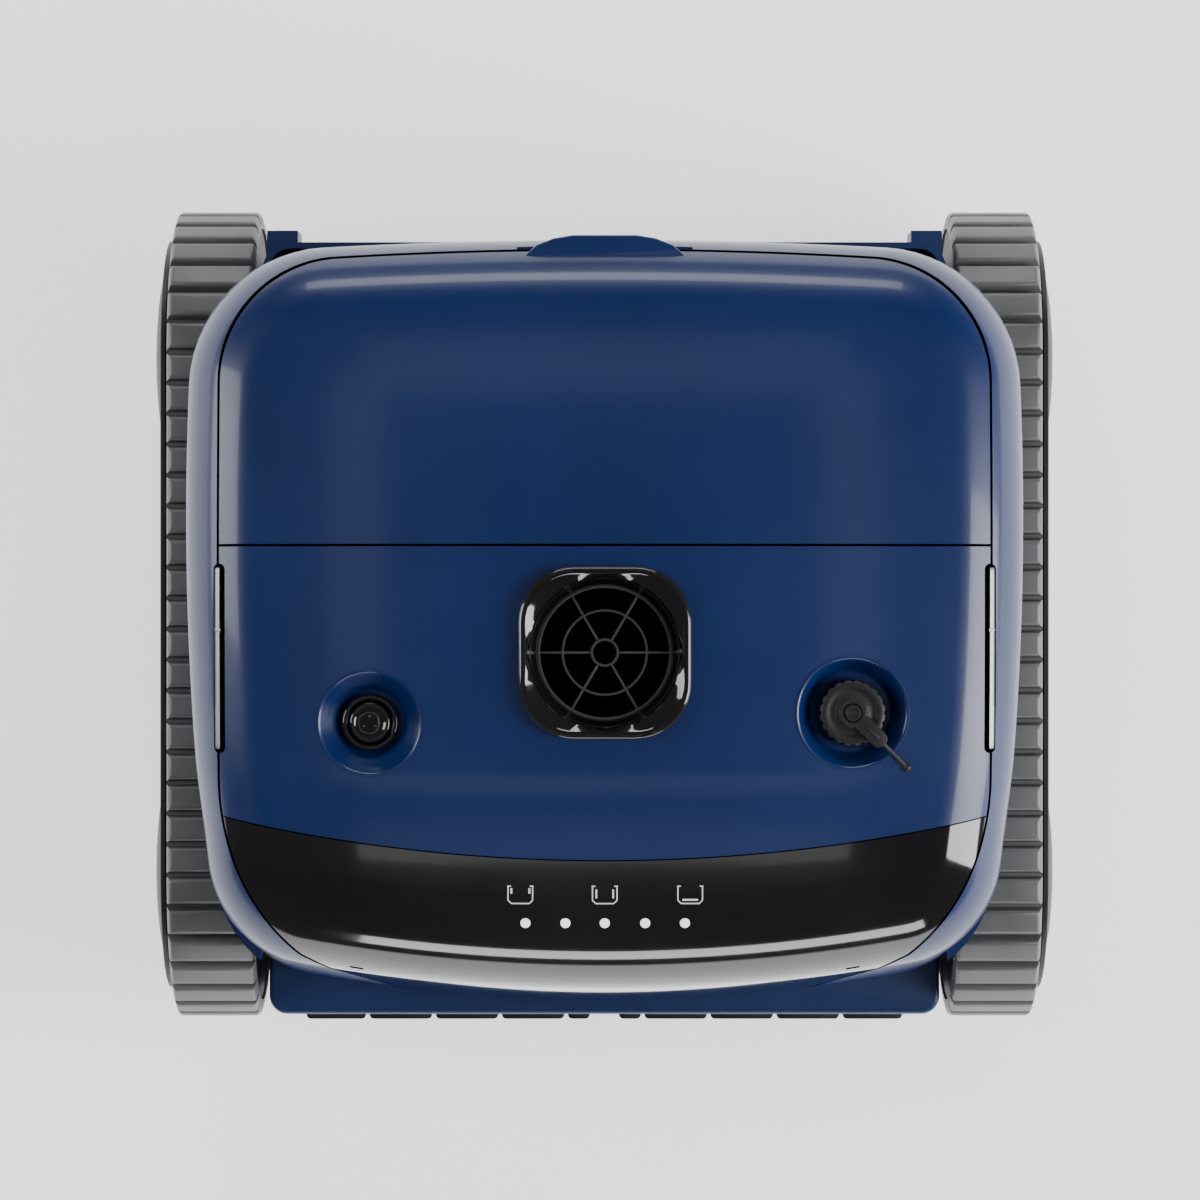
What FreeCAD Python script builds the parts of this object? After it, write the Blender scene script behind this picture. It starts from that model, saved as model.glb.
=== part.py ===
"""Tracked robotic pool cleaner, in millimetres. +X is the cleaner's left-to-right width, +Y points to its
rear and +Z up. The origin is on the pool floor, midway between the four track wheels."""

import FreeCAD, Part

import math
import os

from FreeCAD import Vector

doc = FreeCAD.newDocument("pool_cleaner")
sheet = doc.addObject("Spreadsheet::Sheet", "dim")

# ---------------------------------------------------------------------------------------------------------
# Driving dimensions
# ---------------------------------------------------------------------------------------------------------
DIMENSIONS = {
    # running gear
    "track_length": 400,
    "belt_inner_r": 66,
    "belt_base": 3,
    "lug_height": 5,
    "lug_count": 63,
    "lug_groove": 1.6,
    "lug_draft": 0.9,
    "belt_inner_x": 170,
    "belt_width": 42,
    "guide_width": 10,
    "guide_height": 4.5,
    "belt_gap": 0.3,
    "wheel_side_gap": 1,
    "rim_depth": 3,
    "neck_r": 20,
    "axle_r": 5,
    "run_gap": 0.05,
    "roller_r": 12,
    "roller_y": 30,
    "gear_module": 1.5,
    "gear_gap": 0.8,
    "gear_width": 3.4,
    "mesh_gap": 0.5,
    "cover_r": 60,
    "cover_gap": 1.5,
    "cover_out_x": 222,
    "cover_inset": 4.5,
    "boss_r": 52,
    "boss_top_r": 20,
    "screw_r": 32,
    # lower body
    "tub_half_w": 165,
    "tub_front": 148.5,
    "tub_rear": 179.5,
    "tub_bottom": 22,
    "tub_top": 152,
    "wall": 3,
    "plate": 3,
    "bumper_front": 197,
    "bumper_top": 104,
    "bumper_bottom": 66,
    "bumper_corner": 9,
    # brush rollers
    "brush_y": 178,
    "brush_z": 31,
    "brush_r": 28,
    "brush_core_r": 12,
    "brush_inner_x": 6.4,
    "brush_outer_x": 152,
    "fin_width": 1.6,
    "tab_pitch": 33.5,
    "tab_gap": 1.8,
    "shaft_r": 4,
    # hood
    "hood_half_w": 198,
    "hood_front": 190,
    "hood_rear": 177,
    "hood_top": 243,
    "hood_wall": 2.5,
    "hood_fillet": 34,
    "crown_r": 1300,
    "front_lean": 8,
    "crease_half_w": 180.4,
    "crease_rear": 169.5,
    "panel_gap": 1.2,
    "seam_y": 32.5,
    "hinge_back": 10,
    "hinge_drop": 10,
    "hinge_x": 72,
    "pin_r": 2,
    "visor_mid_y": 114,
    "visor_arc_r": 815,
    # outlet and pump
    "outlet_y": 17.4,
    "outlet_size": 80,
    "outlet_corner": 26,
    "duct_r": 31.5,
    "duct_wall": 2.5,
    "pump_r": 42,
    # dishes, button and charging port
    "button_x": 109.2,
    "button_y": 50,
    "button_dish_r": 23.4,
    "button_r": 9.9,
    "bezel_r": 13.4,
    "port_x": 115,
    "port_y": 45.4,
    "port_dish_r": 26,
    "cap_r": 15.5,
    # basket bay
    "bay_half_w": 124,
    "bay_front": 54,
    "bay_rear": 164,
    "bay_top": 200,
    "bay_wall": 2,
    "basket_gap": 5,
    "basket_wall": 2,
    "basket_top": 196,
    # intake
    "mouth_y": 92,
    "mouth_half_w": 84,
    "mouth_depth": 36,
}
for row, (alias, value) in enumerate(DIMENSIONS.items(), start=1):
    sheet.set(f"A{row}", alias)
    sheet.set(f"B{row}", str(value))
    sheet.setAlias(f"B{row}", alias)
doc.recompute()


class Sizes:
    """Reads a cell of the sheet by its alias."""

    def __getattr__(self, alias):
        return float(getattr(sheet, alias))


d = Sizes()
parts = {}

# ---------------------------------------------------------------------------------------------------------
# Expressions that several pieces share
# ---------------------------------------------------------------------------------------------------------
AXLE_Z = "(dim.belt_inner_r + dim.belt_base + dim.lug_height)"
WHEEL_Y = f"(dim.track_length / 2 - {AXLE_Z})"
BELT_OUT_X = "(dim.belt_inner_x + dim.belt_width)"
COVER_IN_X = f"({BELT_OUT_X} + dim.cover_gap)"
GEAR_X = "(dim.tub_half_w + dim.gear_gap)"
HINGE_Y = "(dim.seam_y + dim.panel_gap / 2 + dim.hinge_back)"
HINGE_Z = "(dim.hood_top - dim.hinge_drop)"
WHEEL_TEETH, PINION_TEETH, SMALL_TEETH = 48, 12, 16

axle_z = d.belt_inner_r + d.belt_base + d.lug_height
wheel_y = d.track_length / 2 - axle_z
hinge_y = d.seam_y + d.panel_gap / 2 + d.hinge_back
hinge_z = d.hood_top - d.hinge_drop


# ---------------------------------------------------------------------------------------------------------
# Small makers: every size is a number or an expression on the sheet
# ---------------------------------------------------------------------------------------------------------
def bind(piece, prop, value):
    piece.setExpression(prop, str(value))


def place(piece, x=0, y=0, z=0, turn=None):
    """Puts a primitive at x, y, z. turn is (axis, degrees)."""
    axis, degrees = turn or ((0, 0, 1), 0)
    piece.Placement = FreeCAD.Placement(Vector(0, 0, 0), FreeCAD.Rotation(Vector(*axis), degrees))
    for letter, value in zip("xyz", (x, y, z)):
        bind(piece, f"Placement.Base.{letter}", value)
    return piece


def block(name, x, y, z):
    """A box from three (low, high) pairs."""
    piece = doc.addObject("Part::Box", name)
    for prop, (low, high) in zip(("Length", "Width", "Height"), (x, y, z)):
        bind(piece, prop, f"({high}) - ({low})")
    return place(piece, x[0], y[0], z[0])


TURNS = {"x": ((0, 1, 0), 90), "y": ((1, 0, 0), -90), "z": ((0, 0, 1), 0)}


def rod(name, axis, r, low, high, at):
    """A cylinder along x, y or z from low to high. at gives the other two coordinates, in x, y, z order."""
    piece = doc.addObject("Part::Cylinder", name)
    bind(piece, "Radius", r)
    bind(piece, "Height", f"({high}) - ({low})")
    spot = list(at)
    spot.insert("xyz".index(axis), low)
    return place(piece, *spot, turn=TURNS[axis])


def cone(name, r_low, r_high, low, high, at):
    """An upright frustum."""
    piece = doc.addObject("Part::Cone", name)
    bind(piece, "Radius1", r_low)
    bind(piece, "Radius2", r_high)
    bind(piece, "Height", f"({high}) - ({low})")
    return place(piece, at[0], at[1], low)


def shaped(name, shape):
    """A piece whose shape comes from Part's own functions."""
    piece = doc.addObject("Part::Feature", name)
    piece.Shape = shape
    return piece


def fuse(name, *pieces):
    piece = doc.addObject("Part::MultiFuse", name)
    piece.Shapes = list(pieces)
    return piece


def common(name, *pieces):
    piece = doc.addObject("Part::MultiCommon", name)
    piece.Shapes = list(pieces)
    return piece


def cut(name, base, *tools):
    piece = doc.addObject("Part::Cut", name)
    piece.Base = base
    piece.Tool = tools[0] if len(tools) == 1 else fuse(f"{name}_tools", *tools)
    return piece


def group(name, *pieces):
    """Separate solids kept together in one node."""
    piece = doc.addObject("Part::Compound", name)
    piece.Links = list(pieces)
    return piece


def mirrored(name, source):
    piece = doc.addObject("Part::Mirroring", name)
    piece.Source = source
    piece.Normal = Vector(1, 0, 0)
    return piece


def node(name, piece):
    """Names a finished sub-part: its label is the name of its file."""
    piece.Label = name
    parts[name] = piece
    return piece


def both_sides(name, piece):
    """A sub-part made on the right-hand side, and its mirror image on the left."""
    node(f"{name}_right", piece)
    return node(f"{name}_left", mirrored(f"{name}_mirror", piece))


# ---------------------------------------------------------------------------------------------------------
# Hood: one smooth rounded form that the shell, lid, deck and visor are all cut from
# ---------------------------------------------------------------------------------------------------------
FAR = 400
FRONT_CORNER = (135, -125, 53)
REAR_CORNER = (130, 107, 67)


def end_arc(corner, reach):
    """Radius and centre y of the wide arc that closes an end and is tangent to both of its corner arcs."""
    x, y, r = corner
    a = abs(reach - y)
    big = (x * x + a * a - r * r) / (2 * (a - r))
    return big, reach - math.copysign(big, reach)


def side_arc(front_corner):
    """Radius and centre of the wide arc down the side, tangent to the front and rear corner arcs."""
    (xf, yf, rf), (xr, yr, rr) = front_corner, REAR_CORNER
    w = d.hood_half_w
    low, high = yf, yr
    for _ in range(60):
        y = (low + high) / 2
        big_f = ((y - yf) ** 2 + (w - xf) ** 2 - rf**2) / (2 * (w - xf - rf))
        big_r = ((y - yr) ** 2 + (w - xr) ** 2 - rr**2) / (2 * (w - xr - rr))
        if big_f < big_r:
            low = y
        else:
            high = y
    return big_r, w - big_r, y


def along(centre, r, toward):
    """The point at radius r from a centre, in the direction of another point."""
    dx, dy = toward[0] - centre[0], toward[1] - centre[1]
    length = math.hypot(dx, dy)
    return centre[0] + r * dx / length, centre[1] + r * dy / length


def hood_outline(inset, z, lean=0.0):
    """The plan outline of the hood as tangent arcs, moved inward by inset; lean moves its front back."""
    front_corner = (FRONT_CORNER[0], FRONT_CORNER[1] + lean, FRONT_CORNER[2])
    front_r, front_y = end_arc(front_corner, lean - d.hood_front)
    rear_r, rear_y = end_arc(REAR_CORNER, d.hood_rear)
    side_r, side_x, side_y = side_arc(front_corner)
    corner_f, corner_r = front_corner[:2], REAR_CORNER[:2]
    # each tangent point is in line with the two centres
    p1 = along((0, front_y), front_r - inset, corner_f)
    p2 = along((side_x, side_y), side_r - inset, corner_f)
    p3 = along((side_x, side_y), side_r - inset, corner_r)
    p4 = along((0, rear_y), rear_r - inset, corner_r)
    m0 = (0, lean - d.hood_front + inset)
    m1 = along(corner_f, FRONT_CORNER[2] - inset, ((p1[0] + p2[0]) / 2, (p1[1] + p2[1]) / 2))
    m2 = (side_x + side_r - inset, side_y)
    m3 = along(corner_r, REAR_CORNER[2] - inset, ((p3[0] + p4[0]) / 2, (p3[1] + p4[1]) / 2))
    m4 = (0, d.hood_rear - inset)
    right = [(p1, m1, p2), (p2, m2, p3), (p3, m3, p4)]
    left = [tuple((-x, y) for x, y in reversed(arc)) for arc in reversed(right)]
    turns = [((-p1[0], p1[1]), m0, p1)] + right + [(p4, m4, (-p4[0], p4[1]))] + left
    edges = [Part.Arc(*[Vector(x, y, z) for x, y in arc]).toShape() for arc in turns]
    return Part.Wire(edges)


def hood_form(inset, bottom):
    """The hood's solid form: walls and a crowned top, joined by a wide rounded shoulder."""
    slope = math.tan(math.radians(d.front_lean))
    rings = [hood_outline(inset, z, (z - d.bumper_top) * slope) for z in (bottom, d.hood_top + 5)]
    blank = Part.makeLoft(rings, True, True)
    crown_r = d.crown_r - inset
    crown = Part.makeSphere(crown_r, Vector(0, 0, d.hood_top - d.crown_r), Vector(0, 0, 1), -90, 90, 360)
    form = blank.common(crown)
    shoulder = []
    for edge in form.Edges:
        low, high = edge.BoundBox.ZMin, edge.BoundBox.ZMax
        if low > bottom + 40 and high - low < 14:
            shoulder.append(edge)
    return form.makeFillet(d.hood_fillet - inset, shoulder)


def crown_height(x, y):
    """Height of the crowned top above a point inside the shoulder."""
    return d.hood_top - d.crown_r + math.sqrt(d.crown_r**2 - x * x - y * y)


def crease_prism(offset):
    """The upright region that the lid, deck and visor fill, inside the crease."""
    w, rear = d.crease_half_w + offset, d.crease_rear + offset
    side = [
        ("line", (96 + offset, -186), (143 + offset * 0.8, -160 - offset * 0.5)),
        ("arc", (143 + offset * 0.8, -160 - offset * 0.5), (168 + offset, -128), (w, -80)),
        ("line", (w, -80), (w, rear - 60)),
        ("arc", (w, rear - 60), (w - 17.1, rear - 18.8), (w - 52, rear - 2)),
    ]
    end = [(w - 52, rear - 2), (0, rear + 1.5), (52 - w, rear - 2)]

    def edge(kind, points, sign=1):
        spots = [Vector(sign * x, y, 60) for x, y in points]
        return Part.Arc(*spots).toShape() if kind == "arc" else Part.LineSegment(*spots).toShape()

    nose = [(-(96 + offset), -186), (-60, -215), (60, -215), (96 + offset, -186)]
    edges = [edge("line", pair) for pair in zip(nose, nose[1:])]
    edges += [edge(kind, points) for kind, *points in side]
    edges.append(edge("arc", end))
    edges += [edge(kind, points[::-1], -1) for kind, *points in reversed(side)]
    return Part.Face(Part.Wire(edges)).extrude(Vector(0, 0, 340))


VENT_FROM, VENT_TO = -64.5, 24


def vent_slots(name):
    """The two long narrow slots along the crease that let air into the body."""
    near, far = "dim.crease_half_w - 3.4", "dim.crease_half_w + 2.2"
    return [
        block(f"{name}_vent_right", (near, far), (VENT_FROM, VENT_TO), (205, FAR)),
        block(f"{name}_vent_left", (f"-({far})", f"-({near})"), (VENT_FROM, VENT_TO), (205, FAR)),
    ]


HINGE_SIDES = (-1, 1)
KNUCKLE_HALF = 6


def make_hood():
    outer = shaped("hood_outer", hood_form(0, d.bumper_top))
    inner = shaped("hood_inner", hood_form(d.hood_wall, d.bumper_top - 1))
    skin = cut("hood_skin", outer, inner)
    inside = shaped("crease_inside", crease_prism(-d.panel_gap / 2))
    outside = shaped("crease_outside", crease_prism(d.panel_gap / 2))
    visor_line = "dim.visor_arc_r - dim.visor_mid_y"

    # lid: behind the seam, with a finger lip at its rear and two knuckles by the seam
    behind = block("behind_seam", (-FAR, FAR), ("dim.seam_y + dim.panel_gap / 2", FAR), (150, FAR))
    lid_skin = common("lid_skin", skin, inside, behind)
    lip = [
        block("lip_wide", (-38, 38), ("dim.crease_rear - 4", "dim.crease_rear + 6.5"), (217.5, 220)),
        block("lip_rib", (-15, 15), ("dim.crease_rear - 4", "dim.crease_rear + 8.5"), (217.5, 220)),
    ]
    knuckles, webs, bores = [], [], []
    for s in HINGE_SIDES:
        low, high = f"{s} * dim.hinge_x - {KNUCKLE_HALF}", f"{s} * dim.hinge_x + {KNUCKLE_HALF}"
        knuckles.append(rod("lid_knuckle", "x", "2.4 * dim.pin_r", low, high, (HINGE_Y, HINGE_Z)))
        webs.append(block("lid_web", (low, high),
                          (f"{HINGE_Y} - 2.4 * dim.pin_r", f"{HINGE_Y} + 2.4 * dim.pin_r"),
                          (HINGE_Z, "dim.hood_top - dim.hood_wall - 1.5")))
        bores.append(rod("lid_bore", "x", "dim.pin_r + dim.run_gap", f"{low} - 2", f"{high} + 2",
                         (HINGE_Y, HINGE_Z)))
    node("lid", cut("lid_cut", fuse("lid_body", lid_skin, *lip, *knuckles, *webs), *bores))

    # deck and visor: in front of the seam, parted by a wide arc
    before = block("before_seam", (-FAR, FAR), (-FAR, "dim.seam_y - dim.panel_gap / 2"), (0, FAR))
    arc_deck = rod("arc_deck", "z", "dim.visor_arc_r - dim.panel_gap / 4", 150, FAR, (0, visor_line))
    arc_visor = rod("arc_visor", "z", "dim.visor_arc_r + dim.panel_gap / 4", 0, FAR, (0, visor_line))
    sweep = rod("lid_edge_sweep", "x", "sqrt(dim.hinge_back ^ 2 + dim.hinge_drop ^ 2) + 0.2",
                -FAR, FAR, (HINGE_Y, HINGE_Z))
    make_deck(cut("deck_skin", common("deck_blank", skin, inside, before, arc_deck), sweep), outer)
    make_visor(cut("visor_skin", common("visor_blank", skin, inside), arc_visor))

    # upper shell: the rest of the hood, with fender floors over the tracks
    trims = [
        block("fender_under_left", (-FAR, "-dim.tub_half_w"), (-FAR, FAR), (0, "dim.tub_top")),
        block("fender_under_right", ("dim.tub_half_w", FAR), (-FAR, FAR), (0, "dim.tub_top")),
        block("rear_under", (-FAR, FAR), ("-dim.tub_front", FAR), (0, "dim.tub_top")),
        block("lip_notch", (-41, 41), ("dim.crease_rear - 10", FAR), (212.5, FAR)),
    ]
    rim = cut("shell_rim", skin, outside, *trims)
    slab = block("slab", (-FAR, FAR), (-FAR, FAR), ("dim.tub_top", "dim.tub_top + dim.wall"))
    middle = block("slab_middle", ("-dim.tub_half_w", "dim.tub_half_w"), (-FAR, FAR), (0, FAR))
    floor = cut("fender_floor", common("fender_slab", outer, slab), middle)
    node("upper_shell", cut("upper_shell_cut", fuse("upper_shell_body", rim, floor), *vent_slots("shell")))


# ---------------------------------------------------------------------------------------------------------
# Deck with its two dishes and outlet hole, and the display visor
# ---------------------------------------------------------------------------------------------------------
DISH_FLOOR_Z, DISH_FLOOR = 226, 2.5
LED_Y, LED_PITCH, LED_R = -143.4, 18.6, 2.3


def rounded_square(size, corner, low, high, y):
    """An upright square prism with rounded corners, centred on x = 0."""
    side = Part.makeBox(size, size, high - low, Vector(-size / 2, y - size / 2, low))
    upright = [e for e in side.Edges if abs(e.Vertexes[0].Z - e.Vertexes[1].Z) > 1]
    return side.makeFillet(corner, upright)


def make_deck(deck_skin, outer):
    outlet_hole = shaped("outlet_hole", rounded_square(
        d.outlet_size - 5, d.outlet_corner - 2.5, 200, FAR, -d.outlet_y))
    dishes = {
        "button": (-d.button_x, -d.button_y, d.button_dish_r, d.bezel_r + 1),
        "port": (d.port_x, -d.port_y, d.port_dish_r, d.cap_r + 3.5),
    }
    walls, hollows, holes = [], [], []
    for name, (x, y, rim_r, floor_r) in dishes.items():
        # the cone keeps its slope above the rim, so that it runs out through the surface
        above = d.hood_top + 10 - DISH_FLOOR_Z
        wide = floor_r + (rim_r - floor_r) / (crown_height(x, y) - DISH_FLOOR_Z) * above
        spot = Vector(x, y, DISH_FLOOR_Z)
        hollow = Part.makeCone(floor_r, wide, above, spot).toNurbs()
        wall = Part.makeCone(floor_r + DISH_FLOOR, wide + DISH_FLOOR, above + DISH_FLOOR,
                             spot - Vector(0, 0, DISH_FLOOR)).toNurbs()
        walls.append(shaped(f"{name}_dish", wall))
        hollows.append(shaped(f"{name}_hollow", hollow))
        holes.append(rod(f"{name}_hole", "z", 11, 200, DISH_FLOOR_Z + 1, (x, y)))
    trimmed = common("dish_walls", outer, fuse("dish_cones", *walls))
    body = cut("deck_dished", fuse("front_deck_body", deck_skin, trimmed), *hollows)
    node("front_deck", cut("front_deck_cut", body, *holes, outlet_hole, *vent_slots("deck")))


def make_visor(visor_skin):
    lights = [rod("led_hole", "z", LED_R + 0.2, 200, FAR, (i * LED_PITCH, LED_Y)) for i in range(-2, 3)]
    windows = [
        block("sensor_left", (-120.2, -113.8), (-FAR, -150), (200, 202)),
        block("sensor_middle", (-3.2, 3.2), (-FAR, -150), (150, 152)),
        block("sensor_right", (113.8, 120.2), (-FAR, -150), (200, 202)),
    ]
    node("display_visor", cut("visor_cut", visor_skin, *lights, *windows))
    pipes = []
    for i in range(-2, 3):
        top = crown_height(i * LED_PITCH, LED_Y) + 0.1
        pipes.append(rod("light_pipe", "z", LED_R, 222, top, (i * LED_PITCH, LED_Y)))
    node("light_pipes", group("light_pipe_group", *pipes))
    node("control_board", block("board", (-62, 62), (-152, -116), (220.4, 222)))


make_hood()


# ---------------------------------------------------------------------------------------------------------
# Lid hinge: pins carried by posts that stand on the bay's front wall
# ---------------------------------------------------------------------------------------------------------
def make_hinge():
    posts, holes, pins = [], [], []
    for s in HINGE_SIDES:
        for side in (-1, 1):
            near = f"{s} * dim.hinge_x + {side} * ({KNUCKLE_HALF} + 0.5)"
            far = f"{s} * dim.hinge_x + {side} * ({KNUCKLE_HALF} + 4)"
            low, high = (far, near) if side < 0 else (near, far)
            posts.append(block("post", (low, high), (f"{HINGE_Y} - 3", f"{HINGE_Y} + 3"), (198, HINGE_Z)))
            posts.append(rod("post_head", "x", 3, low, high, (HINGE_Y, HINGE_Z)))
            holes.append(rod("post_hole", "x", "dim.pin_r", low, high, (HINGE_Y, HINGE_Z)))
        reach = KNUCKLE_HALF + 4
        pins.append(rod("hinge_pin", "x", "dim.pin_r", f"{s} * dim.hinge_x - {reach}",
                        f"{s} * dim.hinge_x + {reach}", (HINGE_Y, HINGE_Z)))
    rail = block("hinge_rail", (-96, 96), (f"{HINGE_Y} - 5", "dim.bay_front"), (195, 198))
    node("hinge_brackets", cut("hinge_brackets_cut", fuse("hinge_brackets_body", rail, *posts), *holes))
    node("hinge_pins", group("hinge_pin_group", *pins))


# ---------------------------------------------------------------------------------------------------------
# Outlet, pump and propeller, all on one upright axis
# ---------------------------------------------------------------------------------------------------------
OUTLET_TOP = 248
GRILLE_Z, PROP_Z, PUMP_BASE_Z = 236, 196, 60


def make_outlet():
    at = (0, "-dim.outlet_y")
    body = rounded_square(d.outlet_size, d.outlet_corner, 242, OUTLET_TOP, -d.outlet_y)
    top = [e for e in body.Edges if e.BoundBox.ZMin > OUTLET_TOP - 0.1]
    frame = shaped("outlet_frame", body.makeChamfer(1.6, top))
    collar = shaped("outlet_collar", rounded_square(
        d.outlet_size - 5.8, d.outlet_corner - 2.9, 232, 243, -d.outlet_y))
    funnel = cone("outlet_funnel", "dim.duct_r", "dim.duct_r + 4.5", 239, OUTLET_TOP, at)
    bore = rod("outlet_bore", "z", "dim.duct_r", 200, 240, at)
    neck = rod("outlet_neck", "z", "dim.duct_r + dim.duct_wall", 226, 233, at)
    node("outlet_frame", cut("outlet_frame_cut", fuse("outlet_frame_body", frame, collar, neck), bore,
                             funnel))

    rings = [
        cut("grille_rim", rod("g1", "z", "dim.duct_r", GRILLE_Z - 1.5, GRILLE_Z + 1.5, at),
            rod("g2", "z", "dim.duct_r - 1.5", GRILLE_Z - 2, GRILLE_Z + 2, at)),
        cut("grille_ring", rod("g3", "z", 20.3, GRILLE_Z - 1, GRILLE_Z + 1, at),
            rod("g4", "z", 18.9, GRILLE_Z - 2, GRILLE_Z + 2, at)),
        rod("grille_hub", "z", 6.7, GRILLE_Z - 1.5, GRILLE_Z + 1.8, at),
    ]
    for i in range(3):
        bar = doc.addObject("Part::Box", "grille_bar")
        bind(bar, "Length", "2 * (dim.duct_r - 0.5)")
        bar.Width, bar.Height = 1.4, 2
        turn = FreeCAD.Rotation(Vector(0, 0, 1), 60 * i)
        bar.Placement = FreeCAD.Placement(turn.multVec(Vector(-d.duct_r + 0.5, -0.7, 0)), turn)
        bar.Placement.Base.z = GRILLE_Z - 1
        bar.Placement.Base.y -= d.outlet_y
        rings.append(bar)
    node("outlet_grille", fuse("outlet_grille_body", *rings))

    # the duct stands on the pump's bell and carries the motor on a cross
    struts = [block("pump_strut", (-32.5, 32.5), ("-dim.outlet_y - 2", "-dim.outlet_y + 2"), (150, 158)),
              block("pump_cross", (-2, 2), ("-dim.outlet_y - 32.5", "-dim.outlet_y + 32.5"), (150, 158))]
    tube = cut("duct_tube", rod("duct_outside", "z", "dim.duct_r + dim.duct_wall", 130, 226, at),
               rod("duct_inside", "z", "dim.duct_r", 129, 227, at))
    node("outlet_duct", fuse("outlet_duct_body", tube, *struts))

    shell = fuse("pump_outside",
                 cone("pump_bell", "dim.pump_r", "dim.duct_r + dim.duct_wall", 100, 130, at),
                 rod("pump_drum", "z", "dim.pump_r", PUMP_BASE_Z, 100, at),
                 block("pump_inlet", (-26, 26), ("-dim.outlet_y", "dim.bay_front"), (66, 98)))
    hollow = fuse("pump_inside",
                  cone("pump_bell_in", "dim.pump_r - dim.duct_wall", "dim.duct_r", 100, 130, at),
                  rod("pump_drum_in", "z", "dim.pump_r - dim.duct_wall", PUMP_BASE_Z + 3, 100, at),
                  block("pump_inlet_in", (-23.5, 23.5), ("-dim.outlet_y", "dim.bay_front + 1"), (68.5, 95.5)))
    feet = block("pump_feet", (-30, 30), ("-dim.outlet_y - 30", "-dim.outlet_y + 30"), (25, PUMP_BASE_Z))
    node("pump_housing", fuse("pump_housing_body", cut("pump_casing", shell, hollow), feet))
    node("pump_motor", fuse("pump_motor_body",
                            rod("pump_can", "z", 19, 158, 180, at), rod("pump_nose", "z", 6, 180, 184, at),
                            rod("pump_shaft", "z", 2.5, 184, PROP_Z + 7, at)))

    blades = []
    for i in range(3):
        blade = doc.addObject("Part::Box", "blade")
        bind(blade, "Length", "dim.duct_r - 1.5 - 5")
        blade.Width, blade.Height = 15, 1.8
        pitch = FreeCAD.Rotation(Vector(1, 0, 0), 28)
        turn = FreeCAD.Rotation(Vector(0, 0, 1), 120 * i)
        whole = turn.multiply(pitch)
        base = turn.multVec(Vector(5, 0, 0)) + whole.multVec(Vector(0, -7.5, -0.9))
        blade.Placement = FreeCAD.Placement(base + Vector(0, -d.outlet_y, PROP_Z), whole)
        blades.append(blade)
    hub = rod("prop_hub", "z", 8, PROP_Z - 8, PROP_Z + 10, at)
    node("propeller", cut("propeller_cut", fuse("propeller_body", hub, *blades),
                          rod("prop_bore", "z", "2.5 + dim.run_gap", PROP_Z - 9, PROP_Z + 7.3, at)))


# ---------------------------------------------------------------------------------------------------------
# Power button, charging port and its tethered cap
# ---------------------------------------------------------------------------------------------------------
BUTTON_TOP = 232


def make_controls():
    at = ("-dim.button_x", "-dim.button_y")
    base = rod("bezel_ring", "z", "dim.bezel_r", DISH_FLOOR_Z, BUTTON_TOP - 2, at)
    neck = rod("bezel_neck", "z", 11, 208, DISH_FLOOR_Z, at)
    well = rod("bezel_well", "z", "dim.button_r + dim.run_gap", 212, FAR, at)
    node("button_bezel", cut("button_bezel_cut", fuse("button_bezel_body", base, neck), well))
    crown = rod("button_crown", "z", "dim.button_r", 216, BUTTON_TOP, at)
    dimples = [rod("button_dimple", "z", 0.8, BUTTON_TOP - 0.5, BUTTON_TOP + 1,
                   (f"-dim.button_x + {x}", f"-dim.button_y + {y}"))
               for x, y in ((0, 3), (-2.6, -1.5), (2.6, -1.5))]
    node("power_button", cut("power_button_cut", crown, *dimples))

    at = ("dim.port_x", "-dim.port_y")
    socket = rod("socket_body", "z", 11, 200, DISH_FLOOR_Z + 1, at)
    flange = rod("socket_flange", "z", "dim.cap_r", DISH_FLOOR_Z, DISH_FLOOR_Z + 1.5, at)
    bore = rod("socket_bore", "z", 8.5, 204, FAR, at)
    pins = [rod("socket_pin", "z", 1, 203, 214, (f"dim.port_x + {x}", "-dim.port_y")) for x in (-3, 3)]
    node("charge_socket", fuse("charge_socket_body",
                               cut("charge_socket_cut", fuse("s1", socket, flange), bore), *pins))

    low, high = DISH_FLOOR_Z + 1.8, 237
    plug = rod("cap_plug", "z", "8.5 - dim.run_gap", 216, low + 1, at)
    disc = rod("cap_disc", "z", "dim.cap_r", low, high, at)
    boss = rod("cap_boss", "z", 4, high, high + 2.8, at)
    notches = []
    for i in range(20):
        a = math.radians(18 * i)
        notches.append(rod("cap_notch", "z", 1.1, low - 1, high + 1,
                           (f"dim.port_x + (dim.cap_r + 0.4) * {math.cos(a):.6f}",
                            f"-dim.port_y + (dim.cap_r + 0.4) * {math.sin(a):.6f}")))
    node("port_cap", cut("port_cap_cut", fuse("port_cap_body", plug, disc, boss), *notches))

    eye = rod("tether_eye", "z", 6.5, high + 0.4, high + 2.2, at)
    strap = doc.addObject("Part::Box", "tether_strap")
    strap.Length, strap.Width, strap.Height = 21, 8, 1.8
    turn = FreeCAD.Rotation(Vector(0, 0, 1), -45)
    spot = turn.multVec(Vector(0, -4, 0))
    strap.Placement = FreeCAD.Placement(spot + Vector(d.port_x, -d.port_y, high + 0.4), turn)
    hole = rod("tether_hole", "z", 4.3, 230, FAR, at)
    flat = cut("tether_cut", fuse("tether_flat", eye, strap), hole)
    # a thin tail slopes from the strap down to a bead in the deck
    start = turn.multVec(Vector(19, 0, 0)) + Vector(d.port_x, -d.port_y, high + 1.3)
    end = turn.multVec(Vector(36, 0, 0)) + Vector(d.port_x, -d.port_y, 0)
    end.z = crown_height(end.x, end.y) + 0.3
    run = end - start
    tail = shaped("tether_tail", Part.makeCylinder(1, run.Length, start, run))
    bead = shaped("tether_bead", Part.makeSphere(1.9, end))
    node("cap_tether", fuse("cap_tether_body", flat, tail, bead))


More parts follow.
